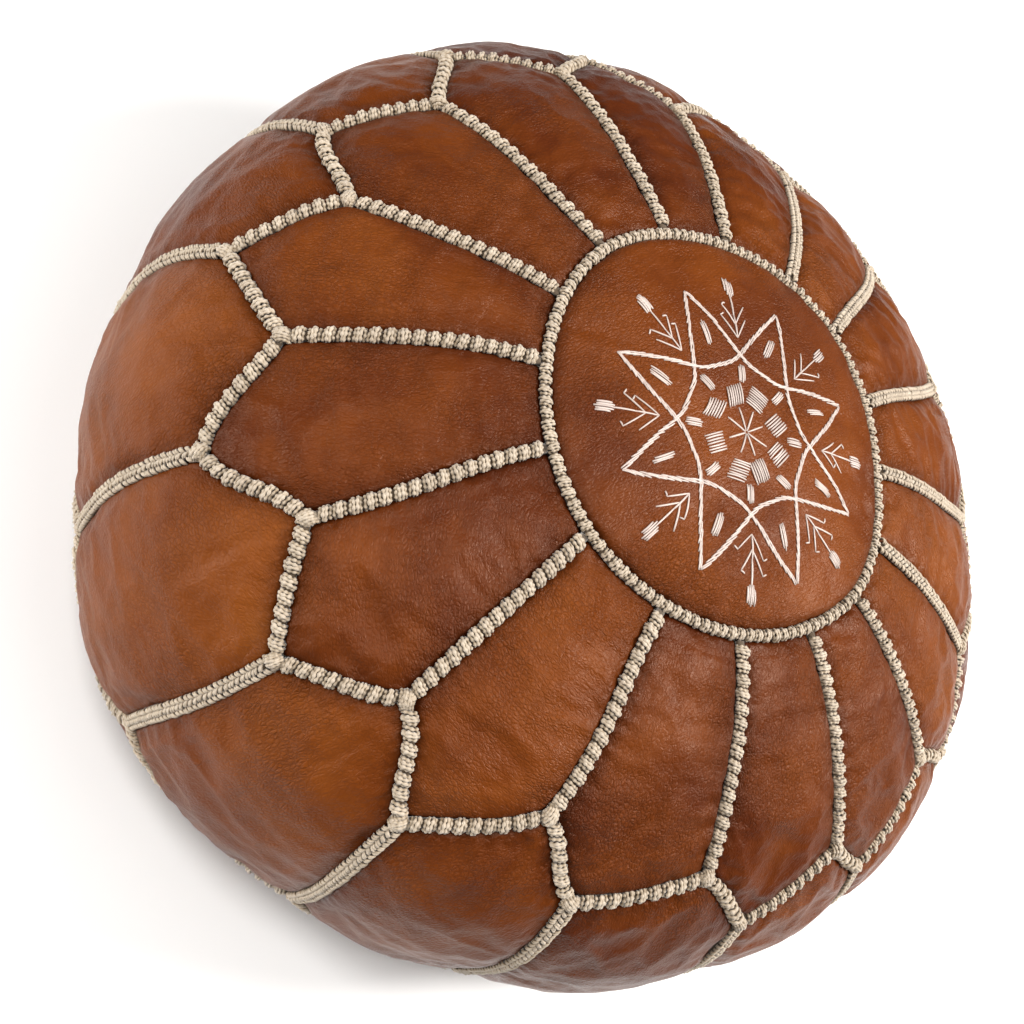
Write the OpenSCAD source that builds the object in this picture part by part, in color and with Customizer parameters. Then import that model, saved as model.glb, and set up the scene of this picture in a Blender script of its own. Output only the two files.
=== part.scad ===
// Moroccan leather pouf: a patchwork leather cover with braided seams, a zip in its base,
// an inner cotton bag and a cotton filling. Millimetres, +Z up, origin on the floor under the crown.

/* [Overall size] */
// Radius of the pouf at its widest
belly_r = 270; // [250:5:290]
// Height from the floor to the crown
height = 260; // [250:5:290]
// Height of the widest level above the floor
belly_z = 117; // [105:1:130]
// Radius of the flat ring that meets the floor
foot_r = 195; // [190:1:205]

/* [Panels] */
// Radius of the seam around the top disc
top_rim_r = 105; // [95:1:115]
// Radius of the seam around the bottom disc
bottom_rim_r = 140; // [138:1:144]
// Radius at which the straight petal seams end and the zigzag begins
shoulder_r = 212; // [205:1:218]
// Height of the lower tip of each top petal
upper_tip_z = 197; // [190:1:202]
// Height of the upper tip of each bottom petal
lower_tip_z = 92; // [86:1:98]
// Height of the lower corner of each side panel
lower_corner_z = 52; // [46:1:58]
// Leather thickness
leather_t = 1.5; // [1.2:0.1:1.8]
// Width of the braid over each seam
braid_w = 7; // [6:0.5:8]

/* [Zip] */
// Length of the closed zip chain
zip_len = 232; // [200:2:232]
// Length of the pull tab from its pin
pull_len = 26; // [20:1:28]

/* [Hidden] */
SIDES = 16;
TWO_DIGITS = [for (i = [1 : SIDES]) str(i < 10 ? "0" : "", i)];
$fn = 96;

pitch = 360 / SIDES;         // angle from one petal to the next
centre_z = 144;              // height of the point that every seam's cutting plane goes through
channel_w = braid_w + 0.4;   // width of the gap that the braid fills
knot_r = braid_w / 2;        // the knot in each corner between the braids
seam_trim = knot_r + 4;      // how far each braid stops short of a corner
braid_proud = 1.2;           // braid height above the leather
braid_depth = 3;             // how deep the braid reaches below the leather's outer face
braid_floor_gap = 0.3;       // how far the braids under the pouf stay inside the leather's outer face
bag_inset = 3.4;             // outer face of the inner bag, below the leather's outer face
bag_t = 0.8;
stuffing_inset = 4.5;
bag_mouth_r = 90;
recess_z = 8;                // height of the bottom disc above the floor, so that the zip clears it
inner_recess_z = 12;
ramp_out = bottom_rim_r + 20;
ramp_in = bottom_rim_r + 6;
reach = 400;                 // longer than anything in the pouf
crown_power = 2.55;          // how square the shoulders are, 2 being an ellipse
base_power = 2.8;            // the same below the widest level

tan_leather = [0.60, 0.30, 0.12];
cream_thread = [0.84, 0.77, 0.66];
white_thread = [0.92, 0.87, 0.83];
cotton = [0.90, 0.87, 0.80];
zip_cloth = [0.32, 0.19, 0.10];
brass = [0.72, 0.56, 0.30];

// ---- Outline of the cover, from the crown out and down to the middle of the base, as [radius, height] ----

crown_h = height - belly_z;
base_h = belly_z / pow(1 - pow(foot_r / belly_r, base_power), 1 / base_power);

function crown_height(r) = belly_z + crown_h * pow(1 - pow(r / belly_r, crown_power), 1 / crown_power);
function base_radius(z) = belly_r * pow(1 - pow((belly_z - z) / base_h, base_power), 1 / base_power);
function crown_radius(z) = belly_r * pow(1 - pow((z - belly_z) / crown_h, crown_power), 1 / crown_power);

crown_path = [for (u = [90 : -5 : 5])
    [belly_r * pow(cos(u), 2 / crown_power), belly_z + crown_h * pow(sin(u), 2 / crown_power)]];
foot_u = asin(pow(belly_z / base_h, base_power / 2));
base_path = [for (i = [0 : 10]) let (u = foot_u * i / 10)
    [belly_r * pow(cos(u), 2 / base_power), belly_z - base_h * pow(sin(u), 2 / base_power)]];
function floor_path(level) = [[ramp_out, 0], [ramp_in, level], [bottom_rim_r - 20, level], [0, level]];
function outline(level) = concat(crown_path, base_path, floor_path(level));
cover_outline = outline(recess_z);

function unit(v) = v / norm(v);
function inward(a, b) = let (t = unit(b - a)) [t.y, -t.x];
// A path moved inward by d. Its ends move square to their own edges, or straight up or down on the axis.
function inset(path, d) = [for (i = [0 : len(path) - 1])
    let (before = inward(path[max(i, 1) - 1], path[max(i, 1)]),
         after = inward(path[min(i, len(path) - 2)], path[min(i, len(path) - 2) + 1]))
    path[i].x < 0.001 ? [0, path[i].y + d * sign(before.y)]
                      : path[i] + (before + after) * d / (1 + before * after)];
function backwards(list) = [for (i = [len(list) - 1 : -1 : 0]) list[i]];
function band(path, near, far) = concat(inset(path, near), backwards(inset(path, far)));

margin = 30;
top_path = [for (p = crown_path) if (p.x > top_rim_r - margin && p.y > upper_tip_z - margin) p];
side_path = [for (p = concat(crown_path, base_path))
    if (p.x > shoulder_r - margin && p.y > lower_corner_z - margin) p];
bottom_path = [for (p = concat(base_path, floor_path(recess_z))) if (p.x > 0 && p.y < lower_tip_z + margin) p];
disc_path = [for (p = crown_path) if (p.x < top_rim_r + margin) p];

// ---- Seam corners, as points on the cover at a turn of a degrees ----

function at(r, z, a) = [r * cos(a), r * sin(a), z];
function top_rim(a) = at(top_rim_r, crown_height(top_rim_r), a);
function shoulder(a) = at(shoulder_r, crown_height(shoulder_r), a);
function upper_tip(a) = at(crown_radius(upper_tip_z), upper_tip_z, a);
function lower_tip(a) = at(base_radius(lower_tip_z), lower_tip_z, a);
function lower_corner(a) = at(base_radius(lower_corner_z), lower_corner_z, a);
function bottom_rim(a) = at(bottom_rim_r, recess_z, a);
centre = [0, 0, centre_z];

// Places a child's XY plane on the plane through the centre and two seam corners.
module on_seam_plane(from, to) {
    u = unit(from - centre);
    n = unit(cross(from - centre, to - centre));
    v = cross(n, u);
    multmatrix([[u.x, v.x, n.x, centre.x], [u.y, v.y, n.y, centre.y], [u.z, v.z, n.z, centre.z], [0, 0, 0, 1]])
        children();
}

// Everything to the left of a seam, back by half the braid's channel.
module left_of(from, to) {
    on_seam_plane(from, to)
        translate([-reach, -reach, channel_w / 2]) cube([2 * reach, 2 * reach, reach]);
}

// A wedge of the cover's wall around the angle mid.
module wall(path, near, far, mid) {
    rotate([0, 0, mid - pitch * 0.7])
        rotate_extrude(angle = pitch * 1.4) polygon(band(path, near, far));
}

// A leather panel whose straight edges are the given corners in turn, seen anticlockwise from outside.
module panel(path, mid, edges) {
    color(tan_leather)
        intersection() {
            wall(path, 0, leather_t, mid);
            for_all_edges(edges);
        }
}

// The region to the left of every edge, as nested intersections.
module for_all_edges(edges) {
    intersection_for (e = edges) left_of(e[0], e[1]);
}

module top_petal(i) {
    a = pitch * (i - 1);
    difference() {
        panel(top_path, a + pitch / 2, [
            [top_rim(a), shoulder(a)],
            [shoulder(a), upper_tip(a + pitch / 2)],
            [upper_tip(a + pitch / 2), shoulder(a + pitch)],
            [shoulder(a + pitch), top_rim(a + pitch)]]);
        cylinder(r = top_rim_r + channel_w / 2, h = 2 * reach);
    }
}

module side_panel(i) {
    a = pitch * (i - 1);
    before = a - pitch / 2;
    after = a + pitch / 2;
    panel(side_path, a, [
        [shoulder(a), upper_tip(before)],
        [upper_tip(before), lower_tip(before)],
        [lower_tip(before), lower_corner(a)],
        [lower_corner(a), lower_tip(after)],
        [lower_tip(after), upper_tip(after)],
        [upper_tip(after), shoulder(a)]]);
}

module bottom_petal(i) {
    a = pitch * (i - 1);
    difference() {
        panel(bottom_path, a + pitch / 2, [
            [lower_tip(a + pitch / 2), lower_corner(a)],
            [lower_corner(a), bottom_rim(a)],
            [bottom_rim(a + pitch), lower_corner(a + pitch)],
            [lower_corner(a + pitch), lower_tip(a + pitch / 2)]]);
        translate([0, 0, -1]) cylinder(r = bottom_rim_r + channel_w / 2, h = reach);
    }
}

module top_disc() {
    color(tan_leather)
        intersection() {
            rotate_extrude() polygon(band(disc_path, 0, leather_t));
            cylinder(r = top_rim_r - channel_w / 2, h = 2 * reach);
        }
}

zip_opening = 7;   // half the width of the slot between the two halves of the bottom disc

module bottom_disc_half(side) {
    color(tan_leather)
        intersection() {
            translate([0, 0, recess_z]) cylinder(r = bottom_rim_r - channel_w / 2, h = leather_t);
            translate([-reach, side > 0 ? zip_opening : -zip_opening - reach, 0]) cube([2 * reach, reach, reach]);
        }
}

// ---- Braids, each filling the channel along one seam ----

// One straight braid from corner to corner, in the wall between two depths.
module braid(path, near, far, mid, from, to) {
    along = unit(to - from);
    start = from + along * seam_trim - centre;
    end = to - along * seam_trim - centre;
    u = unit(from - centre);
    v = cross(unit(cross(from - centre, to - centre)), u);
    beyond = 1.6;   // takes the slab past the wall
    intersection() {
        wall(path, near, far, mid);
        on_seam_plane(from, to)
            linear_extrude(braid_w, center = true)
                polygon([[0, 0], [start * u, start * v] * beyond, [end * u, end * v] * beyond]);
    }
}

// The knot at a seam corner.
module knot(path, near, far, mid, corner) {
    w = unit(corner - centre);
    u = unit(cross([0, 0, 1], w));
    v = cross(w, u);
    intersection() {
        wall(path, near, far, mid);
        multmatrix([[u.x, v.x, w.x, centre.x], [u.y, v.y, w.y, centre.y], [u.z, v.z, w.z, centre.z], [0, 0, 0, 1]])
            cylinder(r = knot_r, h = reach, $fn = 8);
    }
}

module rim_braid(path, near, far, r) {
    rotate_extrude()
        intersection() {
            polygon(band(path, near, far));
            translate([r - braid_w / 2, -1]) square([braid_w, 2 * reach]);
        }
}

module upper_seam_braids() {
    color(cream_thread) {
        rim_braid(disc_path, -braid_proud, braid_depth, top_rim_r);
        for (i = [0 : SIDES - 1]) {
            a = pitch * i;
            tip = upper_tip(a + pitch / 2);
            braid(top_path, -braid_proud, braid_depth, a, top_rim(a), shoulder(a));
            braid(top_path, -braid_proud, braid_depth, a + pitch / 4, shoulder(a), tip);
            braid(top_path, -braid_proud, braid_depth, a + 3 * pitch / 4, tip, shoulder(a + pitch));
            knot(top_path, -braid_proud, braid_depth, a, shoulder(a));
            knot(top_path, -braid_proud, braid_depth, a + pitch / 2, tip);
        }
    }
}

module lower_seam_braids() {
    color(cream_thread) {
        rim_braid(bottom_path, braid_floor_gap, braid_depth, bottom_rim_r);
        for (i = [0 : SIDES - 1]) {
            a = pitch * i;
            tip = lower_tip(a + pitch / 2);
            braid(side_path, -braid_proud, braid_depth, a + pitch / 2, upper_tip(a + pitch / 2), tip);
            braid(side_path, -braid_proud, braid_depth, a + pitch / 4, lower_corner(a), tip);
            braid(side_path, -braid_proud, braid_depth, a + 3 * pitch / 4, tip, lower_corner(a + pitch));
            braid(bottom_path, braid_floor_gap, braid_depth, a, lower_corner(a), bottom_rim(a));
            knot(side_path, -braid_proud, braid_depth, a, lower_corner(a));
            knot(side_path, -braid_proud, braid_depth, a + pitch / 2, tip);
        }
    }
}

// ---- Embroidered eight-pointed star on the top disc ----

POINTS = 8;
star_turn = 3;       // turn of the star against the petal seams
tip_r = 76;          // tips of the star
cross_r = 41;        // where the two interlaced squares cross
bow_r = 35;          // the middle of each bowed side
stitch_w = 1.6;
thread_gap = 0.15;   // between the thread and the leather
thread_h = 0.9;

function zigzag(outer, inner, turn) = [for (k = [0 : 2 * POINTS - 1])
    let (r = k % 2 == 0 ? outer : inner, a = turn + k * 180 / POINTS) [r * cos(a), r * sin(a)]];

module ring_of(outer, inner, turn, w) {
    difference() {
        polygon(zigzag(outer, inner, turn));
        polygon(zigzag(outer - 3.2 * w, inner - w, turn));
    }
}

module around(r, turn) {
    for (k = [0 : POINTS - 1])
        rotate([0, 0, turn + k * 360 / POINTS]) translate([r, 0]) children();
}

module feather() {
    translate([0, -stitch_w / 2]) square([24, stitch_w]);
    for (x = [1, 9], side = [-1, 1])
        translate([x, 0]) rotate([0, 0, side * 50]) translate([0, -stitch_w / 2]) square([11, stitch_w]);
}

module diamond(length, width) {
    polygon([[-length / 2, 0], [0, -width / 2], [length / 2, 0], [0, width / 2]]);
}

module embroidery_pattern() {
    between = star_turn + 180 / POINTS;
    ring_of(tip_r, cross_r, star_turn, stitch_w);
    difference() {
        circle(r = bow_r + 2);
        circle(r = bow_r + 2 - stitch_w);
    }
    around(20, star_turn) square([9, 9], center = true);
    around(31, between) diamond(8, 3.4);
    around(53, star_turn) diamond(13, 3.2);
    around(46, between) feather();
    around(78, between) diamond(12, 5);
    polygon(zigzag(11, 1.2, star_turn));
}

module medallion_embroidery() {
    color(white_thread)
        intersection() {
            rotate_extrude() polygon(band(disc_path, -thread_gap - thread_h, -thread_gap));
            linear_extrude(2 * reach) embroidery_pattern();
        }
}

// ---- Inside the cover ----

module inner_bag() {
    path = outline(inner_recess_z);
    color(cotton)
        difference() {
            rotate_extrude() polygon(band(path, bag_inset, bag_inset + bag_t));
            cylinder(r = bag_mouth_r, h = centre_z);
        }
}

module stuffing() {
    color(cotton) rotate_extrude() polygon(concat([[0, centre_z]], inset(outline(inner_recess_z), stuffing_inset)));
}

// ---- Zip along X across the bottom disc ----

chain_z = recess_z + 2;      // middle of the zip's thickness
chain_t = 2.4;
row_in = 0.6;                // inner and outer edge of each row of teeth
row_out = 3.2;
tape_t = 0.6;
tape_w = 15;
stop_l = 4;

module zip_tapes() {
    color(zip_cloth)
        for (side = [-1, 1])
            translate([0, side * (row_out + 0.1 + tape_w / 2), chain_z])
                cube([zip_len + 26, tape_w, tape_t], center = true);
}

module zip_teeth() {
    color(brass) {
        for (side = [-1, 1])
            translate([0, side * (row_in + row_out) / 2, chain_z])
                cube([zip_len, row_out - row_in, chain_t], center = true);
        for (end = [-1, 1])
            translate([end * (zip_len / 2 + 0.3 + stop_l / 2), 0, chain_z])
                cube([stop_l, 2 * row_out, chain_t], center = true);
    }
}

slider_l = 14;
slider_w = 10.8;
slider_h = 5;
plate_gap = 3;               // between the slider's two plates
slot_h = 1.4;                // for the tape on each side
blade_t = 0.6;               // the bridge that joins the plates, between the rows of teeth
slider_x = zip_len / 2 - slider_l / 2 - 1;
pin_z = 5.3;
pin_r = 0.75;
eye_clearance = 0.05;
eye_r = 1.6;
ear_r = 1.8;
ear_in = 1.5;
ear_out = 2.5;

module zip_slider() {
    plate_bottom = chain_z - slider_h / 2;
    color(brass)
        translate([slider_x, 0, 0]) {
            difference() {
                intersection() {
                    translate([0, 0, chain_z]) cube([slider_l, slider_w, slider_h], center = true);
                    cylinder(r = slider_l / 2 + 0.8, h = reach);
                }
                translate([0, 0, chain_z]) cube([2 * slider_l, 2 * row_out + 0.8, plate_gap], center = true);
                translate([0, 0, chain_z]) cube([2 * slider_l, 2 * slider_w, slot_h], center = true);
            }
            translate([2, -blade_t / 2, chain_z - plate_gap / 2 - 0.2]) cube([4.5, blade_t, plate_gap + 0.4]);
            for (side = [-1, 1])
                translate([0, side * (ear_in + ear_out) / 2, 0]) {
                    translate([0, 0, pin_z]) rotate([90, 0, 0])
                        cylinder(r = ear_r, h = ear_out - ear_in, center = true);
                    translate([-ear_r, (ear_in - ear_out) / 2, pin_z])
                        cube([2 * ear_r, ear_out - ear_in, plate_bottom + 0.2 - pin_z]);
                }
            translate([0, 0, pin_z]) rotate([90, 0, 0]) cylinder(r = pin_r, h = 2 * ear_out - 0.4, center = true);
        }
}

module zip_pull() {
    eye_w = 2 * ear_in - 0.6;
    neck = 2.8;
    tab_t = 1.3;
    color(brass)
        translate([slider_x, 0, pin_z])
            difference() {
                union() {
                    rotate([90, 0, 0]) cylinder(r = eye_r, h = eye_w, center = true);
                    translate([-neck - 0.5, -eye_w / 2, -tab_t / 2]) cube([neck + 0.5, eye_w, tab_t]);
                    translate([0, 0, -tab_t / 2])
                        linear_extrude(tab_t)
                            polygon([[-neck, -2], [-neck, 2], [-neck - 3, 3.5],
                                     [-pull_len + 1, 2.8], [-pull_len, 1.8],
                                     [-pull_len, -1.8], [-pull_len + 1, -2.8], [-neck - 3, -3.5]]);
                }
                rotate([90, 0, 0]) cylinder(r = pin_r + eye_clearance, h = 3 * eye_w, center = true);
                translate([-pull_len + 4, -1.2, -tab_t]) cube([9, 2.4, 2 * tab_t]);
            }
}

// ---- Parts ----

top_disc();
for (i = [1 : SIDES]) {
    top_petal(i);
    side_panel(i);
    bottom_petal(i);
}
bottom_disc_half(1);  // bottom_disc_left
bottom_disc_half(-1);  // bottom_disc_right
upper_seam_braids();
lower_seam_braids();
medallion_embroidery();
inner_bag();
stuffing();
zip_tapes();
zip_teeth();
zip_slider();
zip_pull();
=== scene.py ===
import math

import bpy
import numpy as np
from mathutils import Matrix, Vector, geometry
from mathutils.bvhtree import BVHTree


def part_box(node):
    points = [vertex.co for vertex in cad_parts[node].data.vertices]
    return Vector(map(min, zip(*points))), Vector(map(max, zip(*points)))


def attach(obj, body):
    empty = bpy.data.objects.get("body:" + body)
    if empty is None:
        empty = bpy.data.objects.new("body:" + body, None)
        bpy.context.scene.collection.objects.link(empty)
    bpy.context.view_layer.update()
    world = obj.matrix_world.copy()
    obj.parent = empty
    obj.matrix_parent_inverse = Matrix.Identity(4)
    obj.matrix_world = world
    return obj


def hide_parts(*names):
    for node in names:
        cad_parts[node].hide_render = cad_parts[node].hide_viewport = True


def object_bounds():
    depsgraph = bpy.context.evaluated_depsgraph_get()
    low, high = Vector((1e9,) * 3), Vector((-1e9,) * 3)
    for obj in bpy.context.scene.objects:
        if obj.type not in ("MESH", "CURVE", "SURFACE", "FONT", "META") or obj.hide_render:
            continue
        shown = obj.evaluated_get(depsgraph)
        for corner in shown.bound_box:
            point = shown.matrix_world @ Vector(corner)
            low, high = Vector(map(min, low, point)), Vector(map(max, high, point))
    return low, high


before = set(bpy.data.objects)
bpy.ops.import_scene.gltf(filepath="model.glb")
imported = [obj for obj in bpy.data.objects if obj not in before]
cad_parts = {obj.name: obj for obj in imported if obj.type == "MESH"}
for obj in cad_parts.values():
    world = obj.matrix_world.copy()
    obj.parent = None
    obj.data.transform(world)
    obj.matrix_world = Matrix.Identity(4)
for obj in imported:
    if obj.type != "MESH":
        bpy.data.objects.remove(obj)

scene = bpy.context.scene
cad_low, cad_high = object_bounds()

# All shapes below are worked out in millimetres, and go into Blender in metres.
BELLY_R = 500 * (cad_high.x - cad_low.x)
TOP_Z = 1000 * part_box("top_disc")[1].z
RECESS_Z = 1000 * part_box("bottom_disc_left")[0].z
BELLY_Z, CROWN_POWER, BASE_POWER = 117.0, 2.55, 2.8
CROWN_H = TOP_Z - BELLY_Z
FOOT_R, CENTRE_Z = 195.0, 144.0
RIM_R, BRIM_R, SHOULDER_R = 105.0, 140.0, 212.0
UPPER_TIP_Z, LOWER_TIP_Z, LOWER_CORNER_Z = 197.0, 92.0, 52.0
SIDES = 16
PITCH = 360 / SIDES
COVER = "cover"

# ---------------------------------------------------------------- camera, lights and floor

az, el, roll = math.radians(192.37), math.radians(54.94), math.radians(61.96)
back = Vector((math.sin(az) * math.cos(el), -math.cos(az) * math.cos(el), math.sin(el)))
level = Vector((math.cos(az), math.sin(az), 0))
upward = back.cross(level)
cam_x = math.cos(roll) * level + math.sin(roll) * upward
cam_y = back.cross(cam_x)
cam_at = 0.7042 * back - 0.03658 * cam_x - 0.00704 * cam_y + Vector((0, 0, BELLY_Z / 1000))
cam_data = bpy.data.cameras.new("camera")
cam_data.lens, cam_data.sensor_width = 42.24, 36
cam = bpy.data.objects.new("camera", cam_data)
scene.collection.objects.link(cam)
cam.matrix_world = Matrix.Translation(cam_at) @ Matrix((cam_x, cam_y, back)).transposed().to_4x4()
scene.camera = cam


def area_light(name, place, target, size, power, colour=(1, 1, 1)):
    data = bpy.data.lights.new(name, "AREA")
    data.shape, data.size, data.energy, data.color = "DISK", size, power, colour
    light = bpy.data.objects.new(name, data)
    scene.collection.objects.link(light)
    light.location = place
    light.rotation_mode = "QUATERNION"
    light.rotation_quaternion = (Vector(target) - Vector(place)).to_track_quat("-Z", "Y")


middle = Vector((0, 0, BELLY_Z / 1000))
area_light("front", middle + 1.55 * back + 0.15 * cam_x + 0.45 * cam_y, middle, 0.4, 16, (1, 0.98, 0.96))
area_light("right", middle + 0.55 * back + 1.35 * cam_x + 0.1 * cam_y, middle, 0.5, 31, (1, 0.97, 0.94))
area_light("left", middle + 0.85 * back - 0.95 * cam_x + 0.35 * cam_y, middle, 0.6, 12, (1, 0.98, 0.96))
area_light("above", (-0.5, -0.2, 1.9), middle, 1.4, 10)

world = bpy.data.worlds.new("studio")
scene.world = world
world.use_nodes = True
world.node_tree.nodes["Background"].inputs["Color"].default_value = (1, 1, 1, 1)
world.node_tree.nodes["Background"].inputs["Strength"].default_value = 0.10
scene.view_settings.view_transform = "Standard"

# ---------------------------------------------------------------- materials


def new_material(name):
    material = bpy.data.materials.new(name)
    material.use_nodes = True
    tree = material.node_tree
    shader = tree.nodes["Principled BSDF"]

    def node(kind, inputs=(), **settings):
        made = tree.nodes.new(kind)
        for key, value in settings.items():
            setattr(made, key, value)
        for key, value in dict(inputs).items():
            if isinstance(value, bpy.types.NodeSocket):
                tree.links.new(value, made.inputs[key])
            else:
                made.inputs[key].default_value = value
        return made

    return material, tree, shader, node


def ramp(node, factor, stops):
    made = node("ShaderNodeValToRGB", {"Fac": factor})
    elements = made.color_ramp.elements
    while len(elements) < len(stops):
        elements.new(0.5)
    for element, (at, colour) in zip(elements, stops):
        element.position = at
        element.color = (*colour, 1) if len(colour) == 3 else colour
    return made.outputs["Color"]


def mix(node, blend, factor, a, b):
    made = node("ShaderNodeMix", data_type="RGBA", blend_type=blend)
    tree = made.id_data
    for socket, value in ((made.inputs[0], factor), (made.inputs[6], a), (made.inputs[7], b)):
        if isinstance(value, bpy.types.NodeSocket):
            tree.links.new(value, socket)
        else:
            socket.default_value = value
    return made.outputs[2]


def maths(node, operation, a, b=0.0, clamp=False):
    made = node("ShaderNodeMath", operation=operation, use_clamp=clamp)
    for socket, value in zip(made.inputs, (a, b)):
        if isinstance(value, bpy.types.NodeSocket):
            made.id_data.links.new(value, socket)
        else:
            socket.default_value = value
    return made.outputs[0]


def noise(node, vector, scale, detail, rough=0.5, distortion=0.0, output="Fac"):
    return node("ShaderNodeTexNoise", {"Vector": vector, "Scale": scale, "Detail": detail, "Roughness": rough,
                                       "Distortion": distortion}).outputs[output]


def attribute(node, name, output="Fac"):
    return node("ShaderNodeAttribute", attribute_name=name).outputs[output]


def stretched(node, vector, scale):
    return node("ShaderNodeMapping", {"Vector": vector, "Scale": scale}).outputs["Vector"]


def weighted(node, *terms, clamp=False):
    """The sum of some values, each times its weight."""
    total = None
    for i, (value, weight) in enumerate(terms):
        part = maths(node, "MULTIPLY", value, weight)
        total = part if total is None else maths(node, "ADD", total, part, clamp=clamp and i == len(terms) - 1)
    return total


def bump_layers(node, shader, *layers):
    """Layers of height, strength and distance in metres, each on top of the one before."""
    normal = None
    for height, strength, distance in layers:
        inputs = {"Height": height, "Strength": strength, "Distance": distance}
        if normal is not None:
            inputs["Normal"] = normal
        normal = node("ShaderNodeBump", inputs).outputs["Normal"]
    shader.id_data.links.new(normal, shader.inputs["Normal"])


def leather_material():
    material, tree, shader, node = new_material("leather_tan")
    chart = attribute(node, "chart", "Vector")
    tone, edge = attribute(node, "tone"), attribute(node, "edge")
    place = node("ShaderNodeTexCoord").outputs["Object"]

    mottle = noise(node, chart, 42.0, 5.0, 0.6, 0.6)
    depth = weighted(node, (noise(node, place, 7.0, 3.0, 0.55), 0.40), (tone, 0.30),
                     (noise(node, chart, 17.0, 3.0, 0.5, 0.4), 0.70), (mottle, 0.32),
                     (noise(node, stretched(node, chart, (14.0, 60.0, 14.0)), 1.0, 3.0), 0.16))
    depth = maths(node, "SUBTRACT", depth, 0.49, clamp=True)
    colour = ramp(node, depth, [(0.0, (0.045, 0.009, 0.003)), (0.22, (0.078, 0.016, 0.0035)),
                                (0.48, (0.132, 0.031, 0.0045)), (0.75, (0.185, 0.049, 0.007)),
                                (1.0, (0.250, 0.080, 0.015))])
    # Painted shade: the colour darkens towards the seams, where the leather turns down into the channel under the
    # braid.
    near = ramp(node, edge, [(0.0, (0.42, 0.36, 0.33)), (0.10, (0.66, 0.61, 0.57)), (0.30, (0.90, 0.88, 0.86)),
                             (0.6, (1, 1, 1))])
    colour = mix(node, "MULTIPLY", 1.0, colour, near)

    warp = noise(node, chart, 110.0, 2.0, output="Color")
    grain_place = mix(node, "ADD", 0.004, stretched(node, chart, (1.0, 1.7, 1.0)), warp)
    pebbles, small_pebbles = (
        maths(node, "MULTIPLY", node("ShaderNodeTexVoronoi", {"Vector": grain_place, "Scale": scale},
                                     feature="DISTANCE_TO_EDGE").outputs["Distance"], 3.2, clamp=True)
        for scale in (380.0, 900.0))
    wrinkle = noise(node, stretched(node, chart, (70.0, 200.0, 70.0)), 1.0, 4.0, 0.6, 0.7)
    patches = maths(node, "SUBTRACT", noise(node, chart, 20.0, 2.0), 0.42)
    patches = maths(node, "MULTIPLY", patches, 3.6, clamp=True)
    strength = maths(node, "ADD", maths(node, "MULTIPLY", patches, 0.68), 0.32)
    fine = noise(node, grain_place, 900.0, 3.0, 0.6)
    grain_height = weighted(node, (pebbles, 0.8), (small_pebbles, 0.35), (fine, 0.5))
    grain_height = maths(node, "MULTIPLY", grain_height, strength)
    # Painted shade in the grain's valleys and a slight painted highlight on the pebble tops, following the grain's
    # relief.
    grain_relief_shade = ramp(node, pebbles, [(0.0, (0.50, 0.44, 0.38)), (0.35, (0.90, 0.88, 0.86)),
                                  (0.9, (1.10, 1.10, 1.10))])
    colour = mix(node, "MULTIPLY", maths(node, "MULTIPLY", strength, 0.6), colour, grain_relief_shade)
    tree.links.new(colour, shader.inputs["Base Color"])

    rough = ramp(node, mottle, [(0.25, (0.27,) * 3), (0.75, (0.44,) * 3)])
    tree.links.new(rough, shader.inputs["Roughness"])
    shader.inputs["Specular IOR Level"].default_value = 0.17
    shader.inputs["Specular Tint"].default_value = (1.0, 0.66, 0.48, 1)

    # Small puckers where the seams pull.
    near_seam = ramp(node, edge, [(0.0, (1, 1, 1)), (0.12, (0.6, 0.6, 0.6)), (0.38, (0, 0, 0))])
    pucker = mix(node, "MULTIPLY", 1.0, noise(node, chart, 185.0, 1.0), near_seam)
    bump_layers(node, shader, (pucker, 1.0, 0.0022), (wrinkle, 0.7, 0.0012), (grain_height, 1.0, 0.0005))
    return material


def thread_material(name, dark, light, fibre_scale=1600.0, sheen=0.35, rough=0.72, spec=0.3):
    material, tree, shader, node = new_material(name)
    low, tone = attribute(node, "low"), attribute(node, "tone")
    place = node("ShaderNodeTexCoord").outputs["Object"]
    fibre = noise(node, place, fibre_scale, 2.0)
    shade = weighted(node, (tone, 0.45), (noise(node, place, 38.0, 3.0), 0.35), (fibre, 0.22), clamp=True)
    colour = mix(node, "MIX", shade, (*dark, 1), (*light, 1))
    # Painted shade: where low is small (low on a thread, between threads and on a thread's underside) the colour is
    # darkened.
    painted_shade = ramp(node, low, [(0.0, (0.17, 0.13, 0.085)), (0.35, (0.50, 0.43, 0.33)), (0.7, (0.90, 0.87, 0.82)),
                             (1.0, (1, 1, 1))])
    colour = mix(node, "MULTIPLY", 1.0, colour, painted_shade)
    tree.links.new(colour, shader.inputs["Base Color"])
    shader.inputs["Roughness"].default_value = rough
    shader.inputs["Sheen Weight"].default_value = sheen
    shader.inputs["Sheen Roughness"].default_value = 0.5
    shader.inputs["Specular IOR Level"].default_value = spec
    bump_layers(node, shader, (fibre, 0.5, 0.00025))
    return material


def cloth_material(name, dark, light, threads=1400.0):
    material, tree, shader, node = new_material(name)
    place = node("ShaderNodeTexCoord").outputs["Object"]
    warp, weft = (
        node("ShaderNodeTexWave", {"Vector": place, "Scale": threads / 6.2832, "Distortion": 0.6, "Detail": 1.0},
             bands_direction=axis).outputs["Fac"] for axis in "XY")
    weave = maths(node, "MULTIPLY", warp, weft)
    shade = weighted(node, (weave, 0.5), (noise(node, place, 60.0, 4.0), 0.6), clamp=True)
    tree.links.new(mix(node, "MIX", shade, (*dark, 1), (*light, 1)), shader.inputs["Base Color"])
    shader.inputs["Roughness"].default_value = 0.85
    shader.inputs["Sheen Weight"].default_value = 0.2
    bump_layers(node, shader, (weave, 0.5, 0.0003))
    return material


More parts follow.
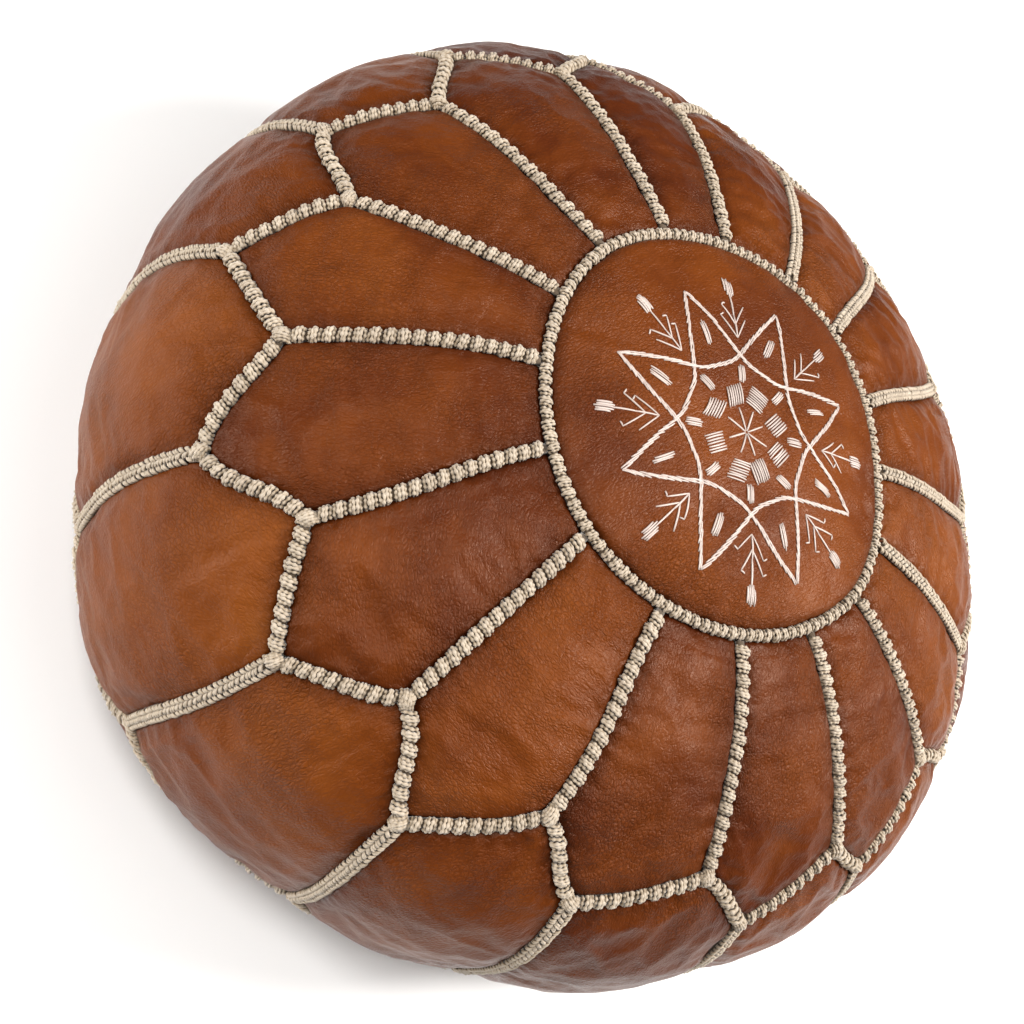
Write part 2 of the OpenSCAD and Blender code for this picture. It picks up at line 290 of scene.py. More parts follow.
def brass_material():
    material, tree, shader, node = new_material("zip_brass")
    place = node("ShaderNodeTexCoord").outputs["Object"]
    tarnish = noise(node, place, 260.0, 5.0)
    scratch = noise(node, stretched(node, place, (300.0, 2600.0, 900.0)), 1.0, 2.0)
    tree.links.new(ramp(node, tarnish, [(0.3, (0.30, 0.19, 0.07)), (0.7, (0.62, 0.44, 0.19))]),
                   shader.inputs["Base Color"])
    tree.links.new(ramp(node, maths(node, "MULTIPLY", maths(node, "ADD", tarnish, scratch), 0.5),
                        [(0.3, (0.5,) * 3), (0.7, (0.26,) * 3)]), shader.inputs["Roughness"])
    shader.inputs["Metallic"].default_value = 1.0
    bump_layers(node, shader, (scratch, 0.25, 0.0001))
    return material


LEATHER = leather_material()
BRAID = thread_material("braid_cord", (0.29, 0.232, 0.170), (0.62, 0.535, 0.43))
SILK = thread_material("embroidery_silk", (0.30, 0.235, 0.205), (0.63, 0.53, 0.48), 2400.0, 0.1, 0.42, 0.5)
COTTON = cloth_material("lining_cotton", (0.55, 0.50, 0.42), (0.86, 0.82, 0.74))
WADDING = cloth_material("stuffing_cotton", (0.72, 0.69, 0.62), (0.93, 0.91, 0.87), 500.0)
TAPE = cloth_material("zip_tape", (0.045, 0.022, 0.010), (0.14, 0.075, 0.038), 3200.0)
BRASS = brass_material()

floor_material, _, floor_shader, _ = new_material("floor")
floor_shader.inputs["Base Color"].default_value = (0.93, 0.93, 0.925, 1)
floor_shader.inputs["Roughness"].default_value = 0.9
floor_mesh = bpy.data.meshes.new("floor")
floor_mesh.from_pydata([(-12, -12, 0), (12, -12, 0), (12, 12, 0), (-12, 12, 0)], [], [(0, 1, 2, 3)])
floor_mesh.materials.append(floor_material)
floor = bpy.data.objects.new("floor", floor_mesh)
floor.location.z = -0.0004
scene.collection.objects.link(floor)

# ---------------------------------------------------------------- the cover's surface


def smooth(values, sigma):
    reach = int(4 * sigma)
    kernel = np.exp(-0.5 * (np.arange(-reach, reach + 1) / sigma) ** 2)
    kernel /= kernel.sum()
    return np.convolve(np.pad(values, reach, mode="reflect", reflect_type="odd"), kernel, mode="valid")


def make_profile():
    base_h = BELLY_Z / (1 - (FOOT_R / BELLY_R) ** BASE_POWER) ** (1 / BASE_POWER)
    turn = np.radians(np.linspace(90, 0, 400))
    crown = np.stack([BELLY_R * np.cos(turn).clip(0) ** (2 / CROWN_POWER),
                      BELLY_Z + CROWN_H * np.sin(turn) ** (2 / CROWN_POWER)], 1)
    end = math.asin((BELLY_Z / base_h) ** (BASE_POWER / 2))
    turn = np.linspace(0, end, 300)[1:]
    base = np.stack([BELLY_R * np.cos(turn) ** (2 / BASE_POWER),
                     BELLY_Z - base_h * np.sin(turn) ** (2 / BASE_POWER)], 1)
    floor_path = np.array([[BRIM_R + 20, 0], [BRIM_R + 6, RECESS_Z], [0, RECESS_Z]])
    path = np.concatenate([crown, base, floor_path])
    length = np.concatenate([[0], np.cumsum(np.linalg.norm(np.diff(path, axis=0), axis=1))])
    at = np.linspace(0, length[-1], int(length[-1]) + 1)
    r, z = (np.interp(at, length, path[:, i]) for i in (0, 1))
    r, z = smooth(r, 2.5), smooth(z, 2.5)
    r[0] = r[-1] = 0
    z = np.maximum(z, 0)
    dr, dz = np.gradient(r, at), np.gradient(z, at)
    size = np.hypot(dr, dz)
    return at, r, z, -dz / size, dr / size


S, PR, PZ, NR, NZ = make_profile()
THETA = np.arctan2(PR, PZ - CENTRE_Z)
THETA = np.maximum.accumulate(THETA + np.arange(len(THETA)) * 1e-9)


# Where the stuffing has settled out of round: degrees round, millimetres down the side from the top, and out.
# A helper script found the places from the photograph's outline.
# The last column is its result, scaled by hand.
SETTLED = np.array([
    (248, 237, -8), (261, 229, -3), (273, 230, -5), (285, 230, -5), (300, 230, -4), (312, 235, -7), (324, 240, -8),
    (335, 251, -3.5), (347, 258, -4.5), (358, 271, -3), (9, 283, -3), (19, 293, -4), (28, 303, -5), (37, 318, -2.5),
    (46, 331, -2.5), (53, 359, 1), (60, 375, 2.5), (69, 381, 1), (78, 385, 4), (86, 391, 10), (95, 392, 13.5),
    (103, 392, 11), (112, 394, 5), (120, 387, 0.5), (128, 383, -2), (136, 375, -6.5), (146, 368, -8),
    (152, 341, -8), (161, 324, -9.5), (170, 311, -9), (180, 297, -9.5), (189, 285, -4), (200, 274, -2), (212, 261, -3.5),
    (224, 251, -2.5), (236, 241, -5)])
SETTLED_AT = np.stack([np.interp(SETTLED[:, 1], S, PR) * np.cos(np.radians(SETTLED[:, 0])),
                       np.interp(SETTLED[:, 1], S, PR) * np.sin(np.radians(SETTLED[:, 0])),
                       np.interp(SETTLED[:, 1], S, PZ)], 1)


def settle(points):
    """How far the cover bulges or sinks near each point, fading out away from the places above."""
    flat = points.reshape(-1, 3)
    out = np.empty(len(flat))
    for start in range(0, len(flat), 20000):
        part = flat[start:start + 20000]
        weight = np.exp(-((part[:, None] - SETTLED_AT[None]) ** 2).sum(2) / (2 * 36.0 ** 2))
        out[start:start + 20000] = (weight @ SETTLED[:, 2]) / (weight.sum(1) + 0.45)
    return out.reshape(points.shape[:-1])


def surface_s(s, phi, height=0.0):
    nr, nz = np.interp(s, S, NR), np.interp(s, S, NZ)
    r, z = np.interp(s, S, PR), np.interp(s, S, PZ)
    height = height + settle(np.stack([r * np.cos(phi), r * np.sin(phi), z], -1))
    r, z = np.maximum(r + height * nr, 0), z + height * nz
    return np.stack([r * np.cos(phi), r * np.sin(phi), z], -1)


def normal_s(s, phi):
    nr, nz = np.interp(s, S, NR), np.interp(s, S, NZ)
    return np.stack([nr * np.cos(phi), nr * np.sin(phi), nz], -1)


def polar_of(r, z):
    return math.atan2(r, z - CENTRE_Z)


def crown_z(r):
    return BELLY_Z + CROWN_H * (1 - (r / BELLY_R) ** CROWN_POWER) ** (1 / CROWN_POWER)


def radius_at(z, upper):
    part = (S < S[np.argmax(PR)]) == upper
    order = np.argsort(PZ[part])
    return float(np.interp(z, PZ[part][order], PR[part][order]))


# ---------------------------------------------------------------- seams

# How far the seam corners that the photograph shows lie from an even layout, in degrees down and round, by half
# pitches round. A helper script worked these out from corners picked on the photograph.
MEASURED_CORNERS = {
    "rim": {2: (-0.31, -0.69), 4: (-0.20, -0.96), 6: (-0.03, -2.46), 8: (0.73, -2.88), 10: (1.09, -3.27),
            12: (0.55, 0.57), 14: (0.36, 2.17), 16: (0.64, 4.12), 18: (1.49, 2.53), 20: (0.38, -1.58),
            22: (-1.47, -1.95), 24: (-0.93, -2.75), 26: (-0.14, -2.12), 28: (-0.66, -4.2), 30: (-1.56, -2.32),
            32: (-1.36, -2.11)},
    "shoulder": {2: (-0.16, 0.77), 4: (-0.80, 1.45), 6: (1.30, -0.18), 8: (0.70, -0.75), 10: (0.08, 0.0),
                 12: (-0.77, -0.25), 14: (0.57, 2.06), 16: (1.66, 3.16), 18: (0.75, 2.07), 20: (0.4, 0.6),
                 30: (-1.61, 0.82), 32: (0.74, -1.31)},
    "tip": {3: (-1.85, 2.46), 5: (0.28, 0.32), 7: (0.65, 0.67), 9: (-0.42, 0.45), 11: (-0.44, -1.50),
            13: (-2.62, -2.97), 15: (-0.72, 0.17), 17: (-1.10, -2.04), 1: (0.0, 0.35)},
    "lower_tip": {11: (1.04, 1.64)},
}
NOMINAL = {
    "rim": polar_of(RIM_R, crown_z(RIM_R)),
    "shoulder": polar_of(SHOULDER_R, crown_z(SHOULDER_R)),
    "tip": polar_of(radius_at(UPPER_TIP_Z, True), UPPER_TIP_Z),
    "lower_tip": polar_of(radius_at(LOWER_TIP_Z, False), LOWER_TIP_Z),
    "lower_corner": polar_of(radius_at(LOWER_CORNER_Z, False), LOWER_CORNER_Z),
    "bottom_rim": polar_of(BRIM_R, RECESS_Z),
}
rng = np.random.default_rng(7)
CORNER = {}
for kind, theta in NOMINAL.items():
    for half in range(1, 33):
        if (half % 2 == 0) == (kind in ("tip", "lower_tip")):
            continue
        down, around = rng.normal(0, 0.45), rng.normal(0, 0.8)
        known = MEASURED_CORNERS.get(kind, {})
        down, around = known.get(half, (down, around))
        if kind == "bottom_rim":
            down = 0.3 * down
        CORNER[kind, half % 32] = (theta + math.radians(down), math.radians(half * PITCH / 2 + around))


def ring_curve(kind):
    """How far down a ring seam lies at each angle round, drawn smoothly through its corners."""
    corners = sorted((phi % (2 * math.pi), theta) for (k, _), (theta, phi) in CORNER.items() if k == kind)
    grid = np.linspace(0, 2 * math.pi, 720, endpoint=False)
    values = np.interp(grid, [c[0] for c in corners], [c[1] for c in corners], period=2 * math.pi)
    kernel = np.exp(-0.5 * (np.arange(-40, 41) / 12) ** 2)
    values = np.convolve(np.concatenate([values[-40:], values, values[:40]]), kernel / kernel.sum(), mode="valid")
    return lambda phi: np.interp(np.mod(phi, 2 * math.pi), grid, values, period=2 * math.pi)


RING = {kind: ring_curve(kind) for kind in ("rim", "bottom_rim")}
for (kind, half), (theta, phi) in list(CORNER.items()):
    if kind in RING:
        CORNER[kind, half] = (float(RING[kind](phi)), phi)


def direction(theta, phi):
    return np.stack([np.sin(theta) * np.cos(phi), np.sin(theta) * np.sin(phi), np.cos(theta)], -1)


def angles(d):
    return np.arctan2(np.hypot(d[..., 0], d[..., 1]), d[..., 2]), np.arctan2(d[..., 1], d[..., 0])


seam_cache = {}


def seam(a, b):
    """Angles along the seam from corner a to corner b, with a slight sway from the hand."""
    if (b, a) in seam_cache:
        return seam_cache[b, a][::-1]
    if (a, b) not in seam_cache:
        if a[0] == b[0] and a[0] in RING:
            start, end = CORNER[a][1], CORNER[b][1]
            end += 2 * math.pi * round((start - end) / (2 * math.pi))
            if abs(end - start) > math.pi:
                end += 2 * math.pi * (1 if end < start else -1)
            phi = np.linspace(start, end, 60)
            seam_cache[a, b] = np.stack([RING[a[0]](phi), phi], 1)
        else:
            p, q = (direction(*CORNER[c]) for c in (a, b))
            gap = math.acos(float(np.clip(p @ q, -1, 1)))
            t = np.linspace(0, 1, 60)[:, None]
            line = (np.sin((1 - t) * gap) * p + np.sin(t * gap) * q) / math.sin(gap)
            side = np.cross(p, q) / math.sin(gap)
            bow = rng.normal(0, 0.006) * np.sin(math.pi * t) + rng.normal(0, 0.003) * np.sin(2 * math.pi * t)
            line = line + side * bow
            seam_cache[a, b] = np.stack(angles(line), 1)
    return seam_cache[a, b]


def unwrap(phi, near):
    return phi - 2 * math.pi * np.round((phi - near) / (2 * math.pi))


# ---------------------------------------------------------------- leather panels

PANELS = []
for i in range(SIDES):
    h = 2 * i
    PANELS.append(("top_petal_%02d" % (i + 1), h + 1, [
        ("rim", h % 32), ("shoulder", h % 32), ("tip", (h + 1) % 32), ("shoulder", (h + 2) % 32),
        ("rim", (h + 2) % 32)]))
    PANELS.append(("side_panel_%02d" % (i + 1), h, [
        ("shoulder", h % 32), ("tip", (h - 1) % 32), ("lower_tip", (h - 1) % 32), ("lower_corner", h % 32),
        ("lower_tip", (h + 1) % 32), ("tip", (h + 1) % 32)]))
    PANELS.append(("bottom_petal_%02d" % (i + 1), h + 1, [
        ("lower_tip", (h + 1) % 32), ("lower_corner", h % 32), ("bottom_rim", h % 32),
        ("bottom_rim", (h + 2) % 32), ("lower_corner", (h + 2) % 32)]))
PANELS.append(("top_disc", None, None))
PANELS.append(("bottom_disc_left", None, None))
PANELS.append(("bottom_disc_right", None, None))

SHEET_SPACING = 13.0
GAP = 2.7           # from the middle of a seam to where the leather turns down under the braid
SPACING = 3.6
ZIP_SLOT = 7.0      # half the width of the slot that the zip lies in
CLOTH_FRAMES = 26
SPARE_CLOTH = 0.026  # how much larger than its frame each panel is cut, as a share of its size
MOVE_LIMIT = 9.0


def closed_distance(points, loop):
    """Distance from each point to a closed line, all in the plane."""
    a, b = loop, np.roll(loop, -1, axis=0)
    best = np.full(len(points), 1e9)
    for start in range(0, len(points), 4000):
        p = points[start:start + 4000, None]
        ab = b - a
        t = np.clip(((p - a) * ab).sum(-1) / np.maximum((ab ** 2).sum(-1), 1e-12), 0, 1)
        best[start:start + 4000] = np.linalg.norm(p - (a + t[..., None] * ab), axis=-1).min(1)
    return best


def within(points, loop):
    """Which points lie inside a closed line."""
    x, y = points[:, 0][:, None], points[:, 1][:, None]
    ax, ay = loop[:, 0], loop[:, 1]
    bx, by = np.roll(ax, -1), np.roll(ay, -1)
    crosses = ((ay > y) != (by > y)) & (x < (bx - ax) * (y - ay) / np.where(by == ay, 1e-12, by - ay) + ax)
    return crosses.sum(1) % 2 == 1


def resample(loop, spacing=None, count=None):
    closed = np.concatenate([loop, loop[:1]])
    length = np.concatenate([[0], np.cumsum(np.linalg.norm(np.diff(closed, axis=0), axis=1))])
    count = count or max(8, int(round(length[-1] / spacing)))
    at = np.linspace(0, length[-1], count, endpoint=False)
    return np.stack([np.interp(at, length, closed[:, i]) for i in (0, 1)], 1)


def inner_loop(outline, gap, spacing, round_off):
    """The outline moved inward by gap, with rounded corners."""
    fine = resample(outline, 0.8)
    along = np.roll(fine, -1, axis=0) - np.roll(fine, 1, axis=0)
    along /= np.linalg.norm(along, axis=1)[:, None]
    moved = fine + gap * np.stack([-along[:, 1], along[:, 0]], 1)
    keep = (closed_distance(moved, fine) > gap - 0.12) & within(moved, fine)
    loop = resample(moved[keep], 1.0)
    for _ in range(round_off):
        loop = 0.5 * loop + 0.25 * (np.roll(loop, 1, axis=0) + np.roll(loop, -1, axis=0))
    return resample(loop, spacing)


def triangles(loop, extra):
    points = np.concatenate([loop, extra]) if len(extra) else loop
    count = len(loop)
    edges = [(i, (i + 1) % count) for i in range(count)]
    out = geometry.delaunay_2d_cdt([Vector(p) for p in points], edges, [], 1, 1e-6)
    return np.array([tuple(v) for v in out[0]]), [tuple(f) for f in out[2]]


class Panel:
    """One leather panel: its outline laid flat, and the way from that flat chart to the cover."""

    def __init__(self, name, half, corners):
        self.name = name
        self.kind = name.rsplit("_", 1)[0] if half is not None else name
        if half is not None:
            self.phi0 = math.radians(half * PITCH / 2)
            lines = [seam(a, b) for a, b in zip(corners, corners[1:] + corners[:1])]
            polar = np.concatenate([line[:-1] for line in lines])
            s = np.interp(polar[:, 0], THETA, S)
            phi = unwrap(polar[:, 1], self.phi0)
            outline = np.stack([(phi - self.phi0) * np.interp(s, S, PR), -s], 1)
        else:
            turn = np.linspace(0, 2 * math.pi, 720, endpoint=False)
            kind = "rim" if name == "top_disc" else "bottom_rim"
            r = np.interp(np.interp(RING[kind](turn), THETA, S), S, PR)
            outline = np.stack([r * np.cos(turn), r * np.sin(turn)], 1)
            if name != "top_disc":
                side = 1 if name.endswith("left") else -1
                cut = ZIP_SLOT - GAP
                outline = outline[outline[:, 1] * side > cut]
                order = np.argsort(np.arctan2(outline[:, 1] * side, outline[:, 0]))
                outline = outline[order]
                ends = outline[[0, -1]].copy()
                ends[:, 1] = cut * side
                outline = np.concatenate([ends[:1], outline, ends[1:]])
        area = 0.5 * (outline[:, 0] * np.roll(outline[:, 1], -1) - outline[:, 1] * np.roll(outline[:, 0], -1)).sum()
        self.outline = outline if area > 0 else outline[::-1]

    def place(self, uv):
        """(s, phi) of chart points."""
        if self.kind == "top_disc":
            r = np.hypot(uv[:, 0], uv[:, 1])
            s = np.interp(r, PR[:150], S[:150])
            return s, np.arctan2(uv[:, 1], uv[:, 0])
        if self.kind.startswith("bottom_disc"):
            r = np.hypot(uv[:, 0], uv[:, 1])
            return np.interp(r, PR[::-1][:150], S[::-1][:150]), np.arctan2(uv[:, 1], uv[:, 0])
        s = -uv[:, 1]
        return s, self.phi0 + uv[:, 0] / np.maximum(np.interp(s, S, PR), 1)

    def points(self, uv, height):
        s, phi = self.place(uv)
        return surface_s(s, phi, height)

    def normals(self, uv):
        return normal_s(*self.place(uv))


panels = [Panel(*p) for p in PANELS]

for p in panels:
    loop = inner_loop(p.outline, GAP, SPACING * 0.8, 6)
    second = inner_loop(p.outline, GAP + 1.5, SPACING * 0.8, 8)
    third = inner_loop(p.outline, GAP + 3.4, SPACING * 0.9, 10)
    low, high = p.outline.min(0), p.outline.max(0)
    rows = np.arange(low[1], high[1], SPACING * 0.9)
    lattice = np.concatenate([np.stack([np.arange(low[0], high[0], SPACING) + (i % 2) * SPACING / 2,
                                        np.full(len(np.arange(low[0], high[0], SPACING)), y)], 1)
                              for i, y in enumerate(rows)])
    lattice = lattice + rng.normal(0, SPACING * 0.06, lattice.shape)
    lattice = lattice[within(lattice, p.outline)]
    lattice = lattice[closed_distance(lattice, p.outline) > GAP + 3.4 + SPACING * 0.6]
    p.uv, p.faces = triangles(loop, np.concatenate([second, third, lattice]))
    p.rim_count = len(loop)
    p.edge_distance = closed_distance(p.uv, p.outline)
    p.low_points = p.points(p.uv, 0.0)


def start_height(p):
    """How far the leather stands off the even surface before the pressure."""
    d = p.edge_distance
    if p.kind.startswith("bottom_disc"):
        return -0.7 + 1.6 * (1 - np.exp(-d / 9.0))
    bulge = 3.2 if p.kind != "bottom_petal" else 2.0
    return -1.6 + bulge * (1 - np.exp(-d / 9.0))


def simulate(panels):
    """Pushes the panels against their held seams, with leather cut a little larger than its frame.

    The bottom disc's two halves are pushed into the pouf, not out of it.
    """
    verts, faces, pins, at = [], [], [], 0
    for p in panels:
        pts = p.points(p.uv, start_height(p))
        if p.kind == "bottom_petal":
            pts[:, 2] = np.maximum(pts[:, 2], 0.2)
        verts.append(pts / 1000)
        faces += [tuple(v + at for v in f) for f in p.faces]
        pins += range(at, at + p.rim_count)
        p.span = (at, at + len(p.uv))
        at += len(p.uv)
    start = np.concatenate(verts)
    mesh = bpy.data.meshes.new("cover_cloth")
    mesh.from_pydata(start.tolist(), [], faces)
    cloth = bpy.data.objects.new("cover_cloth", mesh)
    scene.collection.objects.link(cloth)
    group = cloth.vertex_groups.new(name="held")
    group.add(pins, 1.0, "REPLACE")
    mod = cloth.modifiers.new("cloth", "CLOTH")
    c = mod.settings
    c.quality = 5
    c.mass = 0.25
    c.air_damping = 4
    c.tension_stiffness = c.compression_stiffness = 25
    c.shear_stiffness = 12
    c.bending_stiffness = 0.35
    c.tension_damping = c.compression_damping = c.shear_damping = 8
    c.bending_damping = 0.6
    c.shrink_min = -SPARE_CLOTH
    c.vertex_group_mass = "held"
    c.pin_stiffness = 1
    c.use_pressure = True
    c.uniform_pressure_force = 4.0
    c.effector_weights.gravity = 0
    mod.collision_settings.use_collision = False
    mod.collision_settings.use_self_collision = False
    mod.point_cache.frame_start, mod.point_cache.frame_end = 1, CLOTH_FRAMES
    for f in range(1, CLOTH_FRAMES + 1):
        scene.frame_set(f)
    dg = bpy.context.evaluated_depsgraph_get()
    got = cloth.evaluated_get(dg).data
    end = np.empty(len(got.vertices) * 3, np.float32)
    got.vertices.foreach_get("co", end)
    end = end.reshape(-1, 3).astype(float)
    scene.frame_set(1)
    bpy.data.objects.remove(cloth)
    bpy.data.meshes.remove(mesh)
    return start * 1000, end * 1000


start, end = simulate(panels)
for p in panels:
    a, b = p.span
    move = end[a:b] - start[a:b]
    size = np.linalg.norm(move, axis=1)
    move *= (np.minimum(size, MOVE_LIMIT) / np.maximum(size, 1e-9))[:, None]
    p.cloth = start[a:b] + move


def link_mesh(name, verts_mm, faces, material, **attributes):
    mesh = bpy.data.meshes.new(name)
    mesh.from_pydata((np.asarray(verts_mm) / 1000).tolist(), [], faces)
    mesh.materials.append(material)
    for key, values in attributes.items():
        values = np.asarray(values, np.float32)
        if values.ndim == 2:
            mesh.attributes.new(key, "FLOAT_VECTOR", "POINT").data.foreach_set("vector", values.ravel())
        else:
            mesh.attributes.new(key, "FLOAT", "POINT").data.foreach_set("value", values)
    mesh.shade_smooth()
    mesh.update()
    obj = bpy.data.objects.new(name, mesh)
    scene.collection.objects.link(obj)
    return obj


def apply_modifier(obj, kind, **settings):
    mod = obj.modifiers.new("m", kind)
    for key, value in settings.items():
        setattr(mod, key, value)
    dg = bpy.context.evaluated_depsgraph_get()
    mesh = bpy.data.meshes.new_from_object(obj.evaluated_get(dg), preserve_all_data_layers=True, depsgraph=dg)
    old, name = obj.data, obj.data.name
    obj.modifiers.clear()
    obj.data = mesh
    bpy.data.meshes.remove(old)
    mesh.name = name


def outward_step(loop, distance):
    """A loop's points moved out by distance in the plane."""
    along = np.roll(loop, -1, axis=0) - np.roll(loop, 1, axis=0)
    along /= np.linalg.norm(along, axis=1)[:, None]
    return loop + distance * np.stack([along[:, 1], -along[:, 0]], 1)


TONES = dict(top_disc=0.42, bottom_disc_left=0.30, bottom_disc_right=0.38, top_petal_16=0.1, top_petal_01=0.15,
             top_petal_02=0.3, top_petal_03=0.28, top_petal_04=0.0, top_petal_05=0.05, top_petal_06=0.6,
             top_petal_07=0.0, top_petal_08=0.0, top_petal_09=0.3, top_petal_10=1.0, top_petal_11=1.0,
             side_panel_04=0.8, side_panel_05=0.95, side_panel_06=0.6, side_panel_07=0.3, side_panel_03=0.5)


def build_panel(index, p):
    gen = np.random.default_rng(100 + index)
    uv, cloth = p.uv, p.cloth.copy()
    n = p.rim_count
    d = p.edge_distance
    normal = p.normals(uv)
    # The leather rolls down steeply in its last few millimetres.
    flat_edge = p.kind.startswith("bottom_disc")
    roll_down = (-0.3 if flat_edge else -1.5) * np.clip(1 - (d - GAP) / 4.5, 0, 1) ** 2
    cloth += normal * roll_down[:, None]
    # Folds that run in from the seams, and long soft creases.
    for _ in range(gen.integers(8, 15)):
        k = gen.integers(0, n)
        begin = uv[k]
        inward = np.mean(uv[:n], axis=0) - begin
        turn = gen.normal(0, 0.5)
        inward = np.array([inward[0] * math.cos(turn) - inward[1] * math.sin(turn),
                           inward[0] * math.sin(turn) + inward[1] * math.cos(turn)])
        inward /= np.linalg.norm(inward)
        length, wide, deep = gen.uniform(12, 50), gen.uniform(1.8, 3.4), gen.uniform(0.3, 1.0)
        rel = uv - begin
        t = rel @ inward
        bend = gen.normal(0, 0.004) * t ** 2
        x = rel @ np.array([-inward[1], inward[0]]) - bend
        fade = np.clip(t / 4, 0, 1) * np.clip(1 - t / length, 0, 1)
        fold = -np.exp(-(x / wide) ** 2) + 0.55 * np.exp(-((np.abs(x) - 1.9 * wide) / wide) ** 2)
        cloth += normal * (deep * fade * fold)[:, None]
    low_floor = p.kind == "bottom_petal"
    if low_floor:
        cloth[:, 2] = np.where(cloth[:, 2] < 0.6, 0.6 - 0.6 * (1 - np.exp((cloth[:, 2] - 0.6) / 1.2)), cloth[:, 2])
        cloth[:, 2] = np.maximum(cloth[:, 2], 0.0)

    loop = uv[:n]
    rim_height = np.einsum("ij,ij->i", cloth[:n] - p.low_points[:n], normal[:n])
    rings_uv = [outward_step(loop, g) for g in (0.9, 1.7, 2.1)]
    rings_h = [-0.3, -0.6, -0.8] if flat_edge else [-1.0, -1.9, -2.6]
    inner_uv = inner_loop(loop, 1.2, 3.0, 1)
    inner_uv = resample(inner_uv, count=n)
    shift = np.argmin(np.linalg.norm(inner_uv - loop[0], axis=1))
    inner_uv = np.roll(inner_uv, -shift, axis=0)
    low, high = p.outline.min(0), p.outline.max(0)
    columns, rows = (np.arange(low[i], high[i], SHEET_SPACING) for i in (0, 1))
    spots = np.stack(np.meshgrid(columns, rows), -1).reshape(-1, 2)
    spots = spots[within(spots, inner_uv)]
    spots = spots[closed_distance(spots, inner_uv) > 5]
    sheet_uv, sheet_faces = triangles(inner_uv, spots)
    height = np.einsum("ij,ij->i", cloth - p.low_points, normal)
    nearest = np.array([np.argmin(((uv - q) ** 2).sum(1)) for q in sheet_uv])
    sheet_h = np.where(np.arange(len(sheet_uv)) < n, rim_height.mean() - 3.2, height[nearest] - 2.0)
    sheet_h = np.minimum(sheet_h, height[nearest] - 1.4)

    verts, faces = [cloth], list(p.faces)
    all_uv, edge, outer = [uv], [d], [np.ones(len(uv))]
    at, before = len(uv), 0
    for ring, h in zip(rings_uv, rings_h):
        pts = p.points(ring, rim_height + h)
        if low_floor:
            pts[:, 2] = np.maximum(pts[:, 2], 0.3)
        verts.append(pts)
        all_uv.append(ring)
        edge.append(np.zeros(n))
        outer.append(np.zeros(n))
        faces += [(before + j, at + j, at + (j + 1) % n, before + (j + 1) % n) for j in range(n)]
        before, at = at, at + n
    sheet = p.points(sheet_uv, sheet_h)
    if low_floor or p.kind.startswith("bottom_disc"):
        sheet[:, 2] = np.maximum(sheet[:, 2], cloth[nearest][:, 2] + 1.2)
    verts.append(sheet)
    all_uv.append(sheet_uv)
    edge.append(np.zeros(len(sheet)))
    outer.append(np.zeros(len(sheet)))
    faces += [(before + j, at + j, at + (j + 1) % n, before + (j + 1) % n) for j in range(n)]
    faces += [tuple(at + v for v in reversed(f)) for f in sheet_faces]

    spin = gen.uniform(0, 2 * math.pi)
    flat = np.concatenate(all_uv)
    chart = np.stack([flat[:, 0] * math.cos(spin) - flat[:, 1] * math.sin(spin),
                      flat[:, 0] * math.sin(spin) + flat[:, 1] * math.cos(spin),
                      np.full(len(flat), 137.0 * index)], 1) / 1000
    tone = TONES.get(p.name, gen.uniform(0.1, 0.9))
    obj = link_mesh(p.name + "_leather", np.concatenate(verts), faces, LEATHER, chart=chart,
                    edge=np.clip((np.concatenate(edge) - GAP) / 26, 0, 1), tone=np.full(len(flat), tone))
    apply_modifier(obj, "SUBSURF", levels=1, subdivision_type="CATMULL_CLARK", boundary_smooth="ALL",
                   uv_smooth="NONE")
    obj.data.shade_smooth()
    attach(obj, COVER)
    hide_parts(p.name)
    return obj


leather = [build_panel(i, p) for i, p in enumerate(panels)]

# ---------------------------------------------------------------- threads and braids


def quad_mesh(name, verts_mm, quads, material, **attributes):
    mesh = bpy.data.meshes.new(name)
    mesh.vertices.add(len(verts_mm))
    mesh.vertices.foreach_set("co", (np.asarray(verts_mm, np.float32) / 1000).ravel())
    mesh.loops.add(4 * len(quads))
    mesh.loops.foreach_set("vertex_index", np.asarray(quads, np.int32).ravel())
    mesh.polygons.add(len(quads))
    mesh.polygons.foreach_set("loop_start", np.arange(0, 4 * len(quads), 4, dtype=np.int32))
    mesh.materials.append(material)
    for key, values in attributes.items():
        mesh.attributes.new(key, "FLOAT", "POINT").data.foreach_set("value", np.asarray(values, np.float32))
    mesh.update(calc_edges=True)
    mesh.shade_smooth()
    obj = bpy.data.objects.new(name, mesh)
    scene.collection.objects.link(obj)
    return obj


class Heap:
    """Verts, four-sided faces and two values per vert, gathered from many small pieces."""

    def __init__(self):
        self.verts, self.quads, self.low, self.tone, self.count = [], [], [], [], 0

    def add(self, verts, quads, low, tone):
        self.verts.append(verts)
        self.quads.append(quads + self.count)
        self.low.append(low)
        self.tone.append(np.broadcast_to(tone, (len(verts),)) if np.ndim(tone) < 1 else tone)
        self.count += len(verts)

    def arrays(self):
        return (np.concatenate(self.verts), np.concatenate(self.quads), np.concatenate(self.low),
                np.concatenate(self.tone))

    def build(self, name, material):
        verts, quads, low, tone = self.arrays()
        return quad_mesh(name, verts, quads, material, low=low, tone=tone)


tube_quads_cache = {}


def tube_quads(rings, sides):
    if (rings, sides) not in tube_quads_cache:
        quads = []
        for i in range(rings - 1):
            for j in range(sides):
                k = (j + 1) % sides
                quads.append((i * sides + j, i * sides + k, (i + 1) * sides + k, (i + 1) * sides + j))
        last = (rings - 1) * sides
        for j in range(1, sides - 2, 2):
            quads.append((0, j + 2, j + 1, j))
            quads.append((last, last + j, last + j + 1, last + j + 2))
        tube_quads_cache[rings, sides] = np.array(quads, np.int32)
    return tube_quads_cache[rings, sides]


